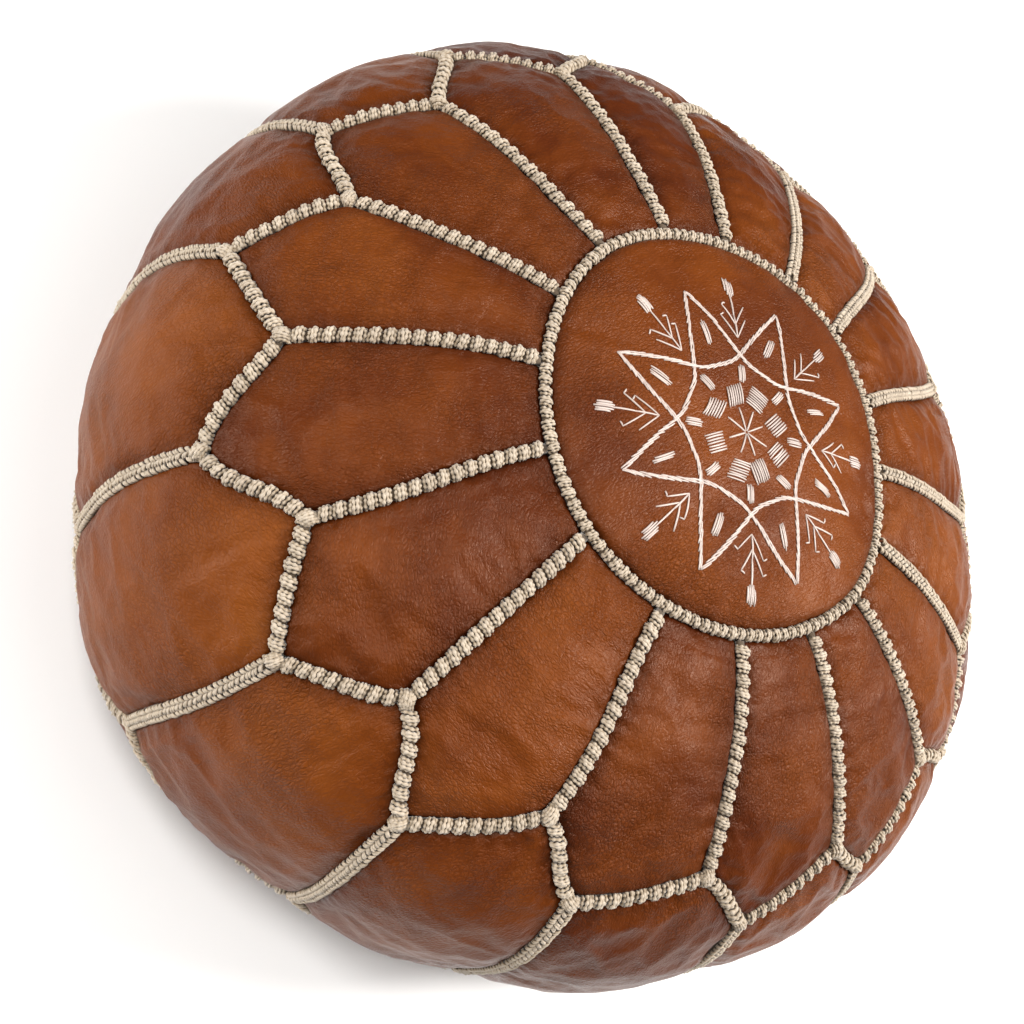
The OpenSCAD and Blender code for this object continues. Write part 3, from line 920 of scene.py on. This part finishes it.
def tube(path, radii, up, sides=6, flat=1.0):
    """A round thread along a path. Gives verts, faces and how far each vert faces up."""
    tangent = np.gradient(path, axis=0)
    tangent /= np.linalg.norm(tangent, axis=1)[:, None]
    side = np.cross(tangent, up)
    side /= np.linalg.norm(side, axis=1)[:, None]
    lift = np.cross(side, tangent)
    a = (np.arange(sides) + 0.5) / sides * 2 * math.pi
    r = np.repeat(radii[:, None], sides, axis=1)
    ring = r[..., None] * (np.cos(a)[None, :, None] * side[:, None]
                           - flat * np.sin(a)[None, :, None] * lift[:, None])
    verts = (path[:, None] + ring).reshape(-1, 3)
    facing = np.broadcast_to(-np.sin(a)[None], (len(path), sides)).reshape(-1)
    return verts, tube_quads(len(path), sides), facing


ROW = 3.2          # from one row of a flat plait to the next
BASE = -1.7         # where a braid's threads go down into the seam, from the even surface


def bead(gen, threads, wide, pitch, tall, slant, radius, rings, bumps, cross=0.0):
    """One braided bead, laid across the seam: threads that arch over it side by side."""
    heap = Heap()
    up = np.tile([0.0, 0.0, 1.0], (rings, 1))
    for i in range(threads):
        u = i - (threads - 1) / 2
        e = abs(u) / max((threads - 1) / 2, 1)
        w = wide * (1 - 0.20 * e * e) * gen.uniform(0.94, 1.06)
        h = tall * (1 - 0.36 * e * e) * gen.uniform(0.93, 1.07)
        t = np.linspace(0.02, 0.98, rings)
        y = -0.5 * w * np.cos(math.pi * t)
        z = BASE + h * np.sin(math.pi * t) ** 0.7
        lean = slant + (cross if i % 2 else -cross)
        x = u * pitch + lean * y / wide + gen.normal(0, 0.10) \
            + 0.16 * np.sin(2 * math.pi * t * 1.5 + gen.uniform(0, 6.3))
        r = radius * (1 + 0.32 * np.sin(2 * math.pi * t * bumps + gen.uniform(0, 6.3))
                      + gen.normal(0, 0.05, rings))
        path = np.stack([x, y, z + 0.12 * np.cos(2 * math.pi * t * bumps + i * math.pi)], 1)
        verts, quads, facing = tube(path, r, up, 6)
        # low sets the braid's painted shade: darker low on the bead, on each thread's underside and on the outer
        # threads, lighter where a thread swells.
        level = np.clip((verts[:, 2] - BASE) / (tall + radius), 0, 1)
        swell = np.repeat((r / radius - 1) / 0.28, 6)
        low = np.clip(0.20 + level * 0.42 + 0.32 * facing + 0.15 * swell - 0.14 * e, 0, 1)
        heap.add(verts, quads, low, np.full(len(verts), gen.uniform(-0.15, 0.15)))
    return heap.arrays()


def plaited_row(gen, wide, tall, rings, columns=3):
    """One row of a flat plait: a bump in each column, made of two short threads lying aslant."""
    heap = Heap()
    up = np.tile([0.0, 0.0, 1.0], (rings, 1))
    t = np.linspace(0.03, 0.97, rings)
    for column in range(columns):
        u = column - (columns - 1) / 2
        lean = 0.6 if column % 2 else -0.6
        for side in (-0.56, 0.56):
            along = -0.5 * wide * np.cos(math.pi * t)
            x = side + (0.5 * ROW if column % 2 else 0) + along * math.sin(lean) + gen.normal(0, 0.08)
            y = u * wide * 0.86 + along * math.cos(lean) + gen.normal(0, 0.08)
            z = BASE + 0.4 + (tall - 0.5 * abs(u)) * gen.uniform(0.93, 1.07) * np.sin(math.pi * t) ** 0.6
            r = 0.62 * (0.62 + 0.42 * np.sin(math.pi * t))
            verts, quads, facing = tube(np.stack([x, y, z], 1), r, up, 6)
            # low sets the plait's painted shade: darker low down and on each thread's underside.
            level = np.clip((verts[:, 2] - BASE) / (tall + 0.9), 0, 1)
            low = np.clip(-0.15 + 0.75 * level + 0.35 * facing, 0, 1)
            heap.add(verts, quads, low, np.full(len(verts), gen.uniform(-0.15, 0.15)))
    return heap.arrays()


braid_rng = np.random.default_rng(31)
FINE = 15
BEADS = {
    "chain": [bead(braid_rng, 4, 6.3, 1.38, 3.9, 1.5 * s, 0.76, FINE, 3.6, 0.25) for s in (1, 1, 0.6, 1.3, 0.9)],
    "rim": [bead(braid_rng, 4, 5.3, 1.16, 3.4, 0.8 * s, 0.66, FINE, 3.0, 0.5) for s in (1, -0.6, 1.4, 0.5)],
    "knot": [bead(braid_rng, 6, 7.8, 1.25, 4.7, 2.2 * s, 0.75, FINE, 5, 0.3) for s in (1, -1)],
    "band": [plaited_row(braid_rng, 2.9, 2.9, 7) for _ in range(4)],
    "plain": [bead(braid_rng, 4, 7.8, 1.55, 3.5, 1.6 * s, 0.90, 9, 4) for s in (1, 0.7, 1.2)],
}


def seam_frames(polar, start, end, pitch, jitter=0.12):
    """Evenly stepped places along a seam: points, frames, and the true step as a share of pitch."""
    theta, phi = polar[:, 0], np.unwrap(polar[:, 1])
    s = np.interp(theta, THETA, S)
    pts = surface_s(s, phi)
    length = np.concatenate([[0], np.cumsum(np.linalg.norm(np.diff(pts, axis=0), axis=1))])
    total = length[-1] - start - end
    count = max(2, int(round(total / pitch)))
    step = total / count
    at = start + (np.arange(count) + 0.5) * step
    at = at + braid_rng.normal(0, jitter, count)
    return place_frames(length, s, phi, at), step / pitch


def place_frames(length, s, phi, at):
    def spot(x):
        return np.interp(x, length, s), np.interp(x, length, phi)
    here = spot(at)
    ahead, behind = spot(at + 0.6), spot(at - 0.6)
    pts = surface_s(*here)
    tangent = surface_s(*ahead) - surface_s(*behind)
    tangent /= np.linalg.norm(tangent, axis=1)[:, None]
    normal = normal_s(*here)
    normal -= (normal * tangent).sum(1)[:, None] * tangent
    normal /= np.linalg.norm(normal, axis=1)[:, None]
    across = np.cross(normal, tangent)
    return pts, np.stack([tangent, across, normal], 1)


def off_the_floor(verts):
    """Pressed flat where it would go below the floor."""
    z = verts[..., 2]
    verts[..., 2] = np.where(z < 0.8, 0.06 + 0.74 * np.exp(np.minimum(z - 0.8, 0) / 0.74), z)
    return verts


def lay(heap, kind, pts, frames, stretch=1.0, size=1.0, sink=0.0):
    variants = BEADS[kind]
    pick = braid_rng.integers(0, len(variants), len(pts))
    flip = braid_rng.choice([-1.0, 1.0], len(pts)) if kind != "band" else np.ones(len(pts))
    for v, (verts, quads, low, tone) in enumerate(variants):
        for k in np.nonzero(pick == v)[0]:
            grow = size * braid_rng.uniform(0.94, 1.06)
            turn = braid_rng.normal(0, 0.05)
            local = verts * [stretch * flip[k], flip[k] * grow, 1.0]
            local[:, 2] = BASE + (local[:, 2] - BASE) * grow - sink
            c, s_ = math.cos(turn), math.sin(turn)
            local = np.stack([c * local[:, 0] - s_ * local[:, 1], s_ * local[:, 0] + c * local[:, 1],
                              local[:, 2]], 1)
            world = off_the_floor(pts[k] + local @ frames[k])
            heap.add(world, quads, low, np.clip(tone + braid_rng.uniform(0.2, 0.8), 0, 1))


def core(heap, polar, half, top, trim=0.5):
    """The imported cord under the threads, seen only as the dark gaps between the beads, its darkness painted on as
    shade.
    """
    (pts, frames), _ = seam_frames(polar, trim, trim, 5.0, 0.0)
    n = len(pts)
    ring = np.array([(-half, BASE - 1.3), (half, BASE - 1.3), (half, BASE + 0.4), (half * 0.6, top),
                     (-half * 0.6, top), (-half, BASE + 0.4)])
    verts = pts[:, None] + ring[None, :, :1] * frames[:, None, 1] + ring[None, :, 1:] * frames[:, None, 2]
    # low is 0 along the whole core, so the braid material gives it its darkest painted shade.
    heap.add(off_the_floor(verts.reshape(-1, 3)), tube_quads(n, 6), np.zeros(n * 6), 0.2)


def band(heap, polar, start, end, kind="band", pitch=ROW):
    """A flat three-column plait along a seam, from close-set rows of thread."""
    (pts, frames), stretch = seam_frames(polar, start, end, pitch, 0.05)
    lay(heap, kind, pts, frames, stretch)


def ring_polar(kind):
    turn = np.linspace(0, 2 * math.pi, 1441)
    return np.stack([RING[kind](turn), turn], 1)


def piece(obj, slot, *nodes):
    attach(obj, COVER)
    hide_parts(*nodes)
    return obj


def finish_braid(heap, name, node):
    piece(heap.build(name, BRAID), "braid_cord", node)


# The ring round the top disc.
heap = Heap()
(pts, frames), stretch = seam_frames(ring_polar("rim"), 0, 0, 5.4)
lay(heap, "rim", pts, frames, stretch)
core(heap, ring_polar("rim"), 2.0, -0.3, 0)
finish_braid(heap, "rim_braid", "upper_seam_braids")

# The seams between the top petals. Those on one side are flat plaits, and the others are chains of beads.
heap, ropes = Heap(), Heap()
for h in range(0, 32, 2):
    line = seam(("rim", h), ("shoulder", h))
    if 20 <= h <= 28:
        band(ropes, line, 3.6, 3.2)
        core(ropes, line, 2.0, -0.4)
    else:
        (pts, frames), stretch = seam_frames(line, 5.0, 4.2, 6.4)
        lay(heap, "chain", pts, frames, stretch)
        core(heap, line, 2.2, -0.5)
finish_braid(heap, "petal_seam_braids", "upper_seam_braids")
finish_braid(ropes, "petal_seam_plaits", "upper_seam_braids")

# The zigzag along the petals' points.
for part in range(2):
    heap = Heap()
    for h in range(16 * part, 16 * part + 16, 2):
        for tip in ((h + 1) % 32, (h - 1) % 32):
            line = seam(("shoulder", h), ("tip", tip))
            (pts, frames), stretch = seam_frames(line, 4.2, 3.8, 6.4)
            lay(heap, "chain", pts, frames, stretch)
            core(heap, line, 2.2, -0.5)
    finish_braid(heap, "zigzag_braids_%d" % (part + 1), "upper_seam_braids")


def corner_knots(heap, kinds, kind="knot"):
    for (k, half), (theta, phi) in CORNER.items():
        if k in kinds:
            s = np.interp([theta], THETA, S)
            pts, n = surface_s(s, np.array([phi])), normal_s(s, np.array([phi]))[0]
            turn = braid_rng.uniform(0, math.pi)
            east = np.array([-math.sin(phi), math.cos(phi), 0])
            south = np.cross(east, n)
            for spin, size in ((turn, 1.0), (turn + math.radians(70), 0.86)):
                t = math.cos(spin) * east + math.sin(spin) * south
                lay(heap, kind, pts, np.array([[t, np.cross(n, t), n]]), 0.95, size, 0.1)


heap = Heap()
corner_knots(heap, ("shoulder", "tip"))
finish_braid(heap, "upper_knots", "upper_seam_braids")

# The side seams, plaited, and the zigzag and the seams below them.
heap = Heap()
for h in range(1, 32, 2):
    line = seam(("tip", h), ("lower_tip", h))
    band(heap, line, 3.2, 3.2)
    core(heap, line, 2.0, -0.4)
finish_braid(heap, "side_seam_plaits", "lower_seam_braids")

heap = Heap()
for h in range(0, 32, 2):
    for tip in ((h + 1) % 32, (h - 1) % 32):
        line = seam(("lower_corner", h), ("lower_tip", tip))
        (pts, frames), stretch = seam_frames(line, 4.0, 4.0, 6.6)
        lay(heap, "plain", pts, frames, stretch)
        core(heap, line, 2.6, 0.4)
finish_braid(heap, "lower_zigzag_braids", "lower_seam_braids")

heap = Heap()
for h in range(0, 32, 2):
    line = seam(("lower_corner", h), ("bottom_rim", h))
    band(heap, line, 3.6, 3.4)
    core(heap, line, 2.0, -0.4)
(pts, frames), stretch = seam_frames(ring_polar("bottom_rim"), 0, 0, 6.2)
lay(heap, "plain", pts, frames, stretch, 0.82)
core(heap, ring_polar("bottom_rim"), 2.2, 0.2, 0)
corner_knots(heap, ("lower_tip", "lower_corner"), "plain")
finish_braid(heap, "bottom_seam_braids", "lower_seam_braids")

# ---------------------------------------------------------------- the star on the top disc

disc = leather[[p.name for p in panels].index("top_disc")]
disc_tree = BVHTree.FromPolygons([1000 * v.co for v in disc.data.vertices],
                                 [tuple(f.vertices) for f in disc.data.polygons])
STAR_X, STAR_Y, STAR_TURN = -9.5, 5.0, 3.0
silk_rng = np.random.default_rng(58)


def on_disc(x, y):
    x, y = x + STAR_X, y + STAR_Y
    hit, n, _, _ = disc_tree.ray_cast(Vector((x, y, 400)), Vector((0, 0, -1)))
    return np.array(hit), np.array(n)


def stitch(heap, a, b, radius=0.54, lift=0.42, rings=6, tone=None):
    """One pass of thread from a to b, going down through the leather at both ends."""
    t = np.linspace(0, 1, rings)
    bow = silk_rng.normal(0, 0.15)
    dx, dy = b[0] - a[0], b[1] - a[1]
    long = math.hypot(dx, dy)
    x = a[0] + dx * t - dy / long * bow * np.sin(math.pi * t)
    y = a[1] + dy * t + dx / long * bow * np.sin(math.pi * t)
    hits = [on_disc(*q) for q in zip(x, y)]
    n = np.array([h[1] for h in hits])
    base = np.array([h[0] for h in hits])
    up = lift * (np.sin(math.pi * np.clip(t, 0.03, 0.97)) ** 0.35) - 0.30
    ends = 0.55 + 0.45 * np.sin(math.pi * np.clip(t, 0.04, 0.96)) ** 0.4
    path = base + n * (up + 0.18)[:, None]
    verts, quads, facing = tube(path, radius * ends * silk_rng.uniform(0.9, 1.1), n, 6, 0.72)
    # low gives each stitch painted shade on its underside.
    heap.add(verts, quads, np.clip(0.62 + 0.5 * facing, 0, 1),
             np.full(len(verts), silk_rng.uniform(0.25, 1.0) if tone is None else tone))


def polar_xy(r, degrees):
    a = math.radians(degrees)
    return np.array([r * math.cos(a), r * math.sin(a)])


def stem_line(heap, line, step=4.0, length=7.0, lean=8.5):
    """Overlapping slanted stitches along a drawn line."""
    reach = np.concatenate([[0], np.cumsum(np.linalg.norm(np.diff(line, axis=0), axis=1))])
    count = max(1, round((reach[-1] - length) / step))
    step = (reach[-1] - length) / count
    side = silk_rng.choice([-1, 1])
    for i in range(count + 1):
        at = i * step + length / 2
        mid = np.array([np.interp(at, reach, line[:, k]) for k in (0, 1)])
        ahead = np.array([np.interp(at + 1, reach, line[:, k]) for k in (0, 1)])
        behind = np.array([np.interp(at - 1, reach, line[:, k]) for k in (0, 1)])
        t = (ahead - behind) / np.linalg.norm(ahead - behind)
        a = math.radians(side * lean + silk_rng.normal(0, 1.5))
        t = np.array([t[0] * math.cos(a) - t[1] * math.sin(a), t[0] * math.sin(a) + t[1] * math.cos(a)])
        n = np.array([-t[1], t[0]])
        for off in (-0.40, 0.40):
            half = 0.5 * length * silk_rng.uniform(0.88, 1.06)
            centre = mid + n * (off + silk_rng.normal(0, 0.08))
            stitch(heap, centre - t * half, centre + t * half, 0.46, 0.5)


silk = Heap()
turn45 = np.linspace(-45, 45, 91)
side_r = 35.4 + 40.6 * (np.abs(turn45) / 45) ** 2.858
for k in range(8):
    middle_turn = STAR_TURN + 45 * k
    stem_line(silk, np.array([polar_xy(r, middle_turn + t) for r, t in zip(side_r, turn45)]))
for k in range(8):
    tip_turn, cross_turn = STAR_TURN + 45 * k, STAR_TURN + 45 * k + 22.5
    # Rays in the middle.
    stitch(silk, polar_xy(0.8, tip_turn), polar_xy(12 * silk_rng.uniform(0.9, 1.1),
                                                   tip_turn + silk_rng.normal(0, 3)), 0.5)
    # Blocks of side-by-side threads.
    centre = polar_xy(20.5 + silk_rng.normal(0, 0.6), tip_turn + silk_rng.normal(0, 2.0))
    lie = tip_turn + (90 if k % 2 else 0) + silk_rng.normal(0, 12)
    run, pack = polar_xy(1, lie), polar_xy(1, lie + 90 + silk_rng.normal(0, 10))
    many = int(silk_rng.integers(7, 9))
    skew = silk_rng.normal(0, 0.28)
    for j in range(many):
        mid = centre + (pack * 1.42 + run * skew) * (j - (many - 1) / 2)
        half = 5.4 * silk_rng.uniform(0.9, 1.08)
        stitch(silk, mid - run * half, mid + run * half, 0.50, 0.62)
    # Small diamonds by the crossings, and bars inside the tips.
    for r, angle, half, many in ((30.8, cross_turn, 5.0, 4), (52.5, tip_turn, 6.6, 3 + k % 2)):
        out, over = polar_xy(1, angle + silk_rng.normal(0, 5)), polar_xy(1, angle + 90)
        centre = polar_xy(r, angle)
        for j in range(many):
            off = j - (many - 1) / 2
            mid = centre + over * off * 1.05 + out * silk_rng.normal(0, 0.4)
            arm = out * half * (1 - 0.13 * abs(off))
            stitch(silk, mid - arm, mid + arm, 0.5, 0.55)
    # Sprigs outside the crossings.
    start = polar_xy(50.0, cross_turn)
    out, over = polar_xy(1, cross_turn + silk_rng.normal(0, 3)), polar_xy(1, cross_turn + 90)
    stitch(silk, start + out * 1.0, start + out * 13, 0.5)
    stitch(silk, start + out * 12, start + out * 25.5, 0.5)
    for reach_out, length in ((0.3, 13.5), (7.5, 13.5)):
        for sign in (-1, 1):
            long = length * silk_rng.uniform(0.85, 1.12)
            spread = math.radians(35 + silk_rng.normal(0, 5))
            begin = start + out * reach_out
            arm = out * math.cos(spread) + sign * over * math.sin(spread)
            stitch(silk, begin, begin + arm * long, 0.46)
            hook = out * math.cos(spread + 1.5) + sign * over * math.sin(spread + 1.5)
            if silk_rng.random() < 0.7:
                end = begin + arm * long
                stitch(silk, end, end + hook * 2.6 * silk_rng.choice([-1, 1]), 0.44, rings=5)
    centre = start + out * 28.5
    for off in range(-2, 3):
        mid = centre + over * off * 1.1 + out * off * silk_rng.normal(0.0, 0.6)
        half = 5.2 * (1 - 0.14 * abs(off))
        stitch(silk, mid - out * half, mid + out * half, 0.54, 0.62)
piece(silk.build("star_stitches", SILK), "embroidery_silk", "medallion_embroidery")

# ---------------------------------------------------------------- zip under the base

ZIP_LEN, CHAIN_Z = 232.0, 10.0
zip_rng = np.random.default_rng(83)


def grid_faces(rows, columns, start=0, wrap=False):
    faces = []
    for i in range(rows - 1):
        for j in range(columns if wrap else columns - 1):
            k = (j + 1) % columns
            faces.append((start + i * columns + j, start + i * columns + k,
                          start + (i + 1) * columns + k, start + (i + 1) * columns + j))
    return faces


def closed_strip(rows_xy, z_low, z_high):
    """A thin closed slab over a grid of points: z_low and z_high are grids of heights."""
    rows, columns = rows_xy.shape[:2]
    under = np.concatenate([rows_xy, z_low[..., None]], 2).reshape(-1, 3)
    over = np.concatenate([rows_xy, z_high[..., None]], 2).reshape(-1, 3)
    n = rows * columns
    quads = [tuple(reversed(f)) for f in grid_faces(rows, columns)] + grid_faces(rows, columns, n)
    border = ([(0, j) for j in range(columns)] + [(i, columns - 1) for i in range(1, rows)]
              + [(rows - 1, j) for j in range(columns - 2, -1, -1)] + [(i, 0) for i in range(rows - 2, 0, -1)])
    ids = [i * columns + j for i, j in border]
    for a, b in zip(ids, ids[1:] + ids[:1]):
        quads.append((a, b, b + n, a + n))
    return np.concatenate([under, over]), np.array(quads, np.int32)


heap = Heap()
for side in (-1, 1):
    x = np.linspace(-136, 136, 137)
    y = np.array([3.35, 4.0, 5.2, 6.8, 9.0, 12.0, 15.0, 18.2]) * side
    grid = np.stack(np.meshgrid(x, y, indexing="ij"), -1)
    # Past the end stops the two tapes meet.
    meet = np.clip((np.abs(x) - 121) / 2, 0, 1)[:, None]
    grid[..., 1] -= side * 3.2 * meet * np.clip((9 - np.abs(y)) / 5.6, 0, 1)[None]
    wave = (0.16 * np.sin(x[:, None] / 5.3 + side) * np.clip((np.abs(y)[None] - 4) / 6, 0, 1)
            + 0.05 * np.sin(x[:, None] / 1.9 + np.abs(y)[None]))
    bead_edge = 0.35 * np.exp(-((np.abs(y)[None] - 3.6) / 0.5) ** 2)
    verts, quads = closed_strip(grid, CHAIN_Z - 0.3 + wave - bead_edge, CHAIN_Z + 0.3 + wave + bead_edge)
    heap.add(verts, quads, np.ones(len(verts)), 0.5)
piece(heap.build("zip_woven_tapes", TAPE), "zip_tape", "zip_tapes")

heap = Heap()
for side in (-1, 1):
    for i in range(int(ZIP_LEN / 2.4)):
        x = -ZIP_LEN / 2 + 1.2 + 2.4 * i + (0.6 if side > 0 else -0.6)
        # A cast tooth: a clamp over the tape's edge, a neck, and a rounded head.
        y = np.array([3.45, 3.3, 2.7, 2.0, 1.5, 0.9, 0.5, 0.38]) * side
        path = np.stack([np.full(8, x) + zip_rng.normal(0, 0.03), y, np.full(8, CHAIN_Z)], 1)
        radii = np.array([0.55, 0.86, 0.92, 0.74, 0.66, 0.84, 0.70, 0.35])
        verts, quads, _ = tube(path, radii, np.tile([0.0, 0.0, 1.0], (8, 1)), 8, 1.2)
        heap.add(verts, quads, np.ones(len(verts)), 0.5)
for x in (-118.3, 118.3):
    path = np.array([[x - 2, 0, CHAIN_Z], [x - 1.7, 0, CHAIN_Z], [x, 0, CHAIN_Z], [x + 1.7, 0, CHAIN_Z],
                     [x + 2, 0, CHAIN_Z]], float)
    verts, quads, _ = tube(path, np.array([2.6, 3.3, 3.4, 3.3, 2.6]), np.tile([0.0, 0.0, 1.0], (5, 1)), 12, 0.36)
    heap.add(verts, quads, np.ones(len(verts)), 0.5)
piece(heap.build("zip_metal_teeth", BRASS), "zip_brass", "zip_teeth")

for node in ("zip_slider", "zip_pull"):
    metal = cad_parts[node]
    if not metal.material_slots:
        metal.data.materials.append(BRASS)
    for slot in metal.material_slots:
        slot.material = BRASS

# Two rows of stitching that hold the tapes to the leather.
for name, side in (("left", 1), ("right", -1)):
    half = leather[[p.name for p in panels].index("bottom_disc_" + name)]
    tree = BVHTree.FromPolygons([1000 * v.co for v in half.data.vertices],
                                [tuple(f.vertices) for f in half.data.polygons])
    heap = Heap()
    for row in (10.2, 15.4):
        reach = math.sqrt(129.0 ** 2 - row ** 2)
        for i in range(int(2 * reach / 4.2)):
            x0 = -reach + 4.2 * i
            y = side * (row + 0.12 * math.sin(x0 / 9))
            t = np.linspace(0, 1, 6)
            xs = x0 + 0.45 + 3.3 * t
            hits = [tree.ray_cast(Vector((x, y, -50)), Vector((0, 0, 1))) for x in xs]
            if any(h[0] is None for h in hits):
                continue
            base = np.array([h[0] for h in hits])
            n = np.array([h[1] for h in hits])
            n *= np.sign(-n[:, 2:])
            path = base + n * (0.40 * np.sin(math.pi * np.clip(t, 0.04, 0.96)) ** 0.4 - 0.28)[:, None]
            path[:, 1] += side * 0.25 * (t - 0.5)
            radii = 0.42 * (0.6 + 0.4 * np.sin(math.pi * np.clip(t, 0.05, 0.95)) ** 0.5)
            verts, quads, facing = tube(path, radii, n, 6)
            # low gives each stitch painted shade on its underside.
            heap.add(verts, quads, np.clip(0.6 + 0.5 * facing, 0, 1), zip_rng.uniform(0.2, 0.8))
    piece(heap.build("zip_stitching_" + name, BRAID), "braid_cord", "lower_seam_braids")

# ---------------------------------------------------------------- bag and stuffing inside

inside_rng = np.random.default_rng(97)
COLUMNS = 240


def turned_surface(name, s, height, material, slot, node, inner=None):
    """A closed skin over rows s, each vert moved out by its height. With inner it is an open shell."""
    rows = len(s)
    phi = np.linspace(0, 2 * math.pi, COLUMNS, endpoint=False)
    ss = np.repeat(s[:, None], COLUMNS, 1)
    pp = np.repeat(phi[None], rows, 0)

    def skin(h):
        return surface_s(ss, pp, h).reshape(-1, 3)

    verts = skin(height)
    faces = [tuple(reversed(f)) for f in grid_faces(rows, COLUMNS, 0, True)]
    if inner is None:
        faces += [tuple(range(COLUMNS)), tuple(reversed(range((rows - 1) * COLUMNS, rows * COLUMNS)))]
        faces = [f if len(f) == 4 else tuple(reversed(f)) for f in faces]
    else:
        n = len(verts)
        verts = np.concatenate([verts, skin(inner)])
        faces += grid_faces(rows, COLUMNS, n, True)
        faces += [tuple(range(COLUMNS - 1, -1, -1))[::-1], tuple(range(n, n + COLUMNS))[::-1]]
        last = (rows - 1) * COLUMNS
        faces += [(last + (j + 1) % COLUMNS, last + j, n + last + j, n + last + (j + 1) % COLUMNS)
                  for j in range(COLUMNS)]
    obj = piece(link_mesh(name, verts, faces, material), slot, node)
    return obj


s_end = S[-1]
r_small = float(np.interp(1.5, PR[:20], S[:20]))
mouth = s_end - 90.0
rows_s = np.concatenate([[r_small], np.linspace(6, mouth, 150)])
phi = np.linspace(0, 2 * math.pi, COLUMNS, endpoint=False)[None]
gores = np.abs(((phi * 10 / (2 * math.pi)) % 1) - 0.5) * 2
seam_dip = np.exp(-((1 - gores) * 14) ** 2)
ss = rows_s[:, None]
ripple = (0.35 * np.sin(ss / 7.0 + 5 * np.sin(phi * 10)) * np.exp(-((1 - gores) * 4) ** 2)
          + 0.3 * np.sin(phi * 23 + ss / 31) * np.sin(ss / 43))
gather = np.clip((ss - (mouth - 46)) / 46, 0, 1) ** 1.5 * (0.9 * np.sin(phi * 48 + 1.3 * np.sin(phi * 7)))
hem = 0.5 * np.exp(-((ss - (mouth - 6)) / 2.5) ** 2)
bag_h = -7.4 + 0.5 * (1 - seam_dip) - 0.9 * seam_dip + ripple + gather * 0.8 + hem
turned_surface("inner_bag_cotton", rows_s, bag_h, COTTON, "lining_cotton", "inner_bag", inner=bag_h - 0.9)

rows_s = np.concatenate([[r_small], np.linspace(6, s_end - 4, 150)])
ss = rows_s[:, None]
lump = np.zeros((len(rows_s), COLUMNS))
for _ in range(60):
    a, b = inside_rng.integers(2, 26), inside_rng.uniform(0.01, 0.16)
    lump += inside_rng.normal(0, 1) / (1 + a / 10 + b * 10) * np.cos(a * phi + inside_rng.uniform(0, 6.3)) \
        * np.sin(b * ss + inside_rng.uniform(0, 6.3))
lump *= np.clip(np.sin(math.pi * ss / s_end) * 4, 0, 1)
lump = np.clip(lump / np.abs(lump).max(), -1, 1)
turned_surface("stuffing_wadding", rows_s, -11.6 + 1.8 * lump, WADDING, "stuffing_cotton", "stuffing")
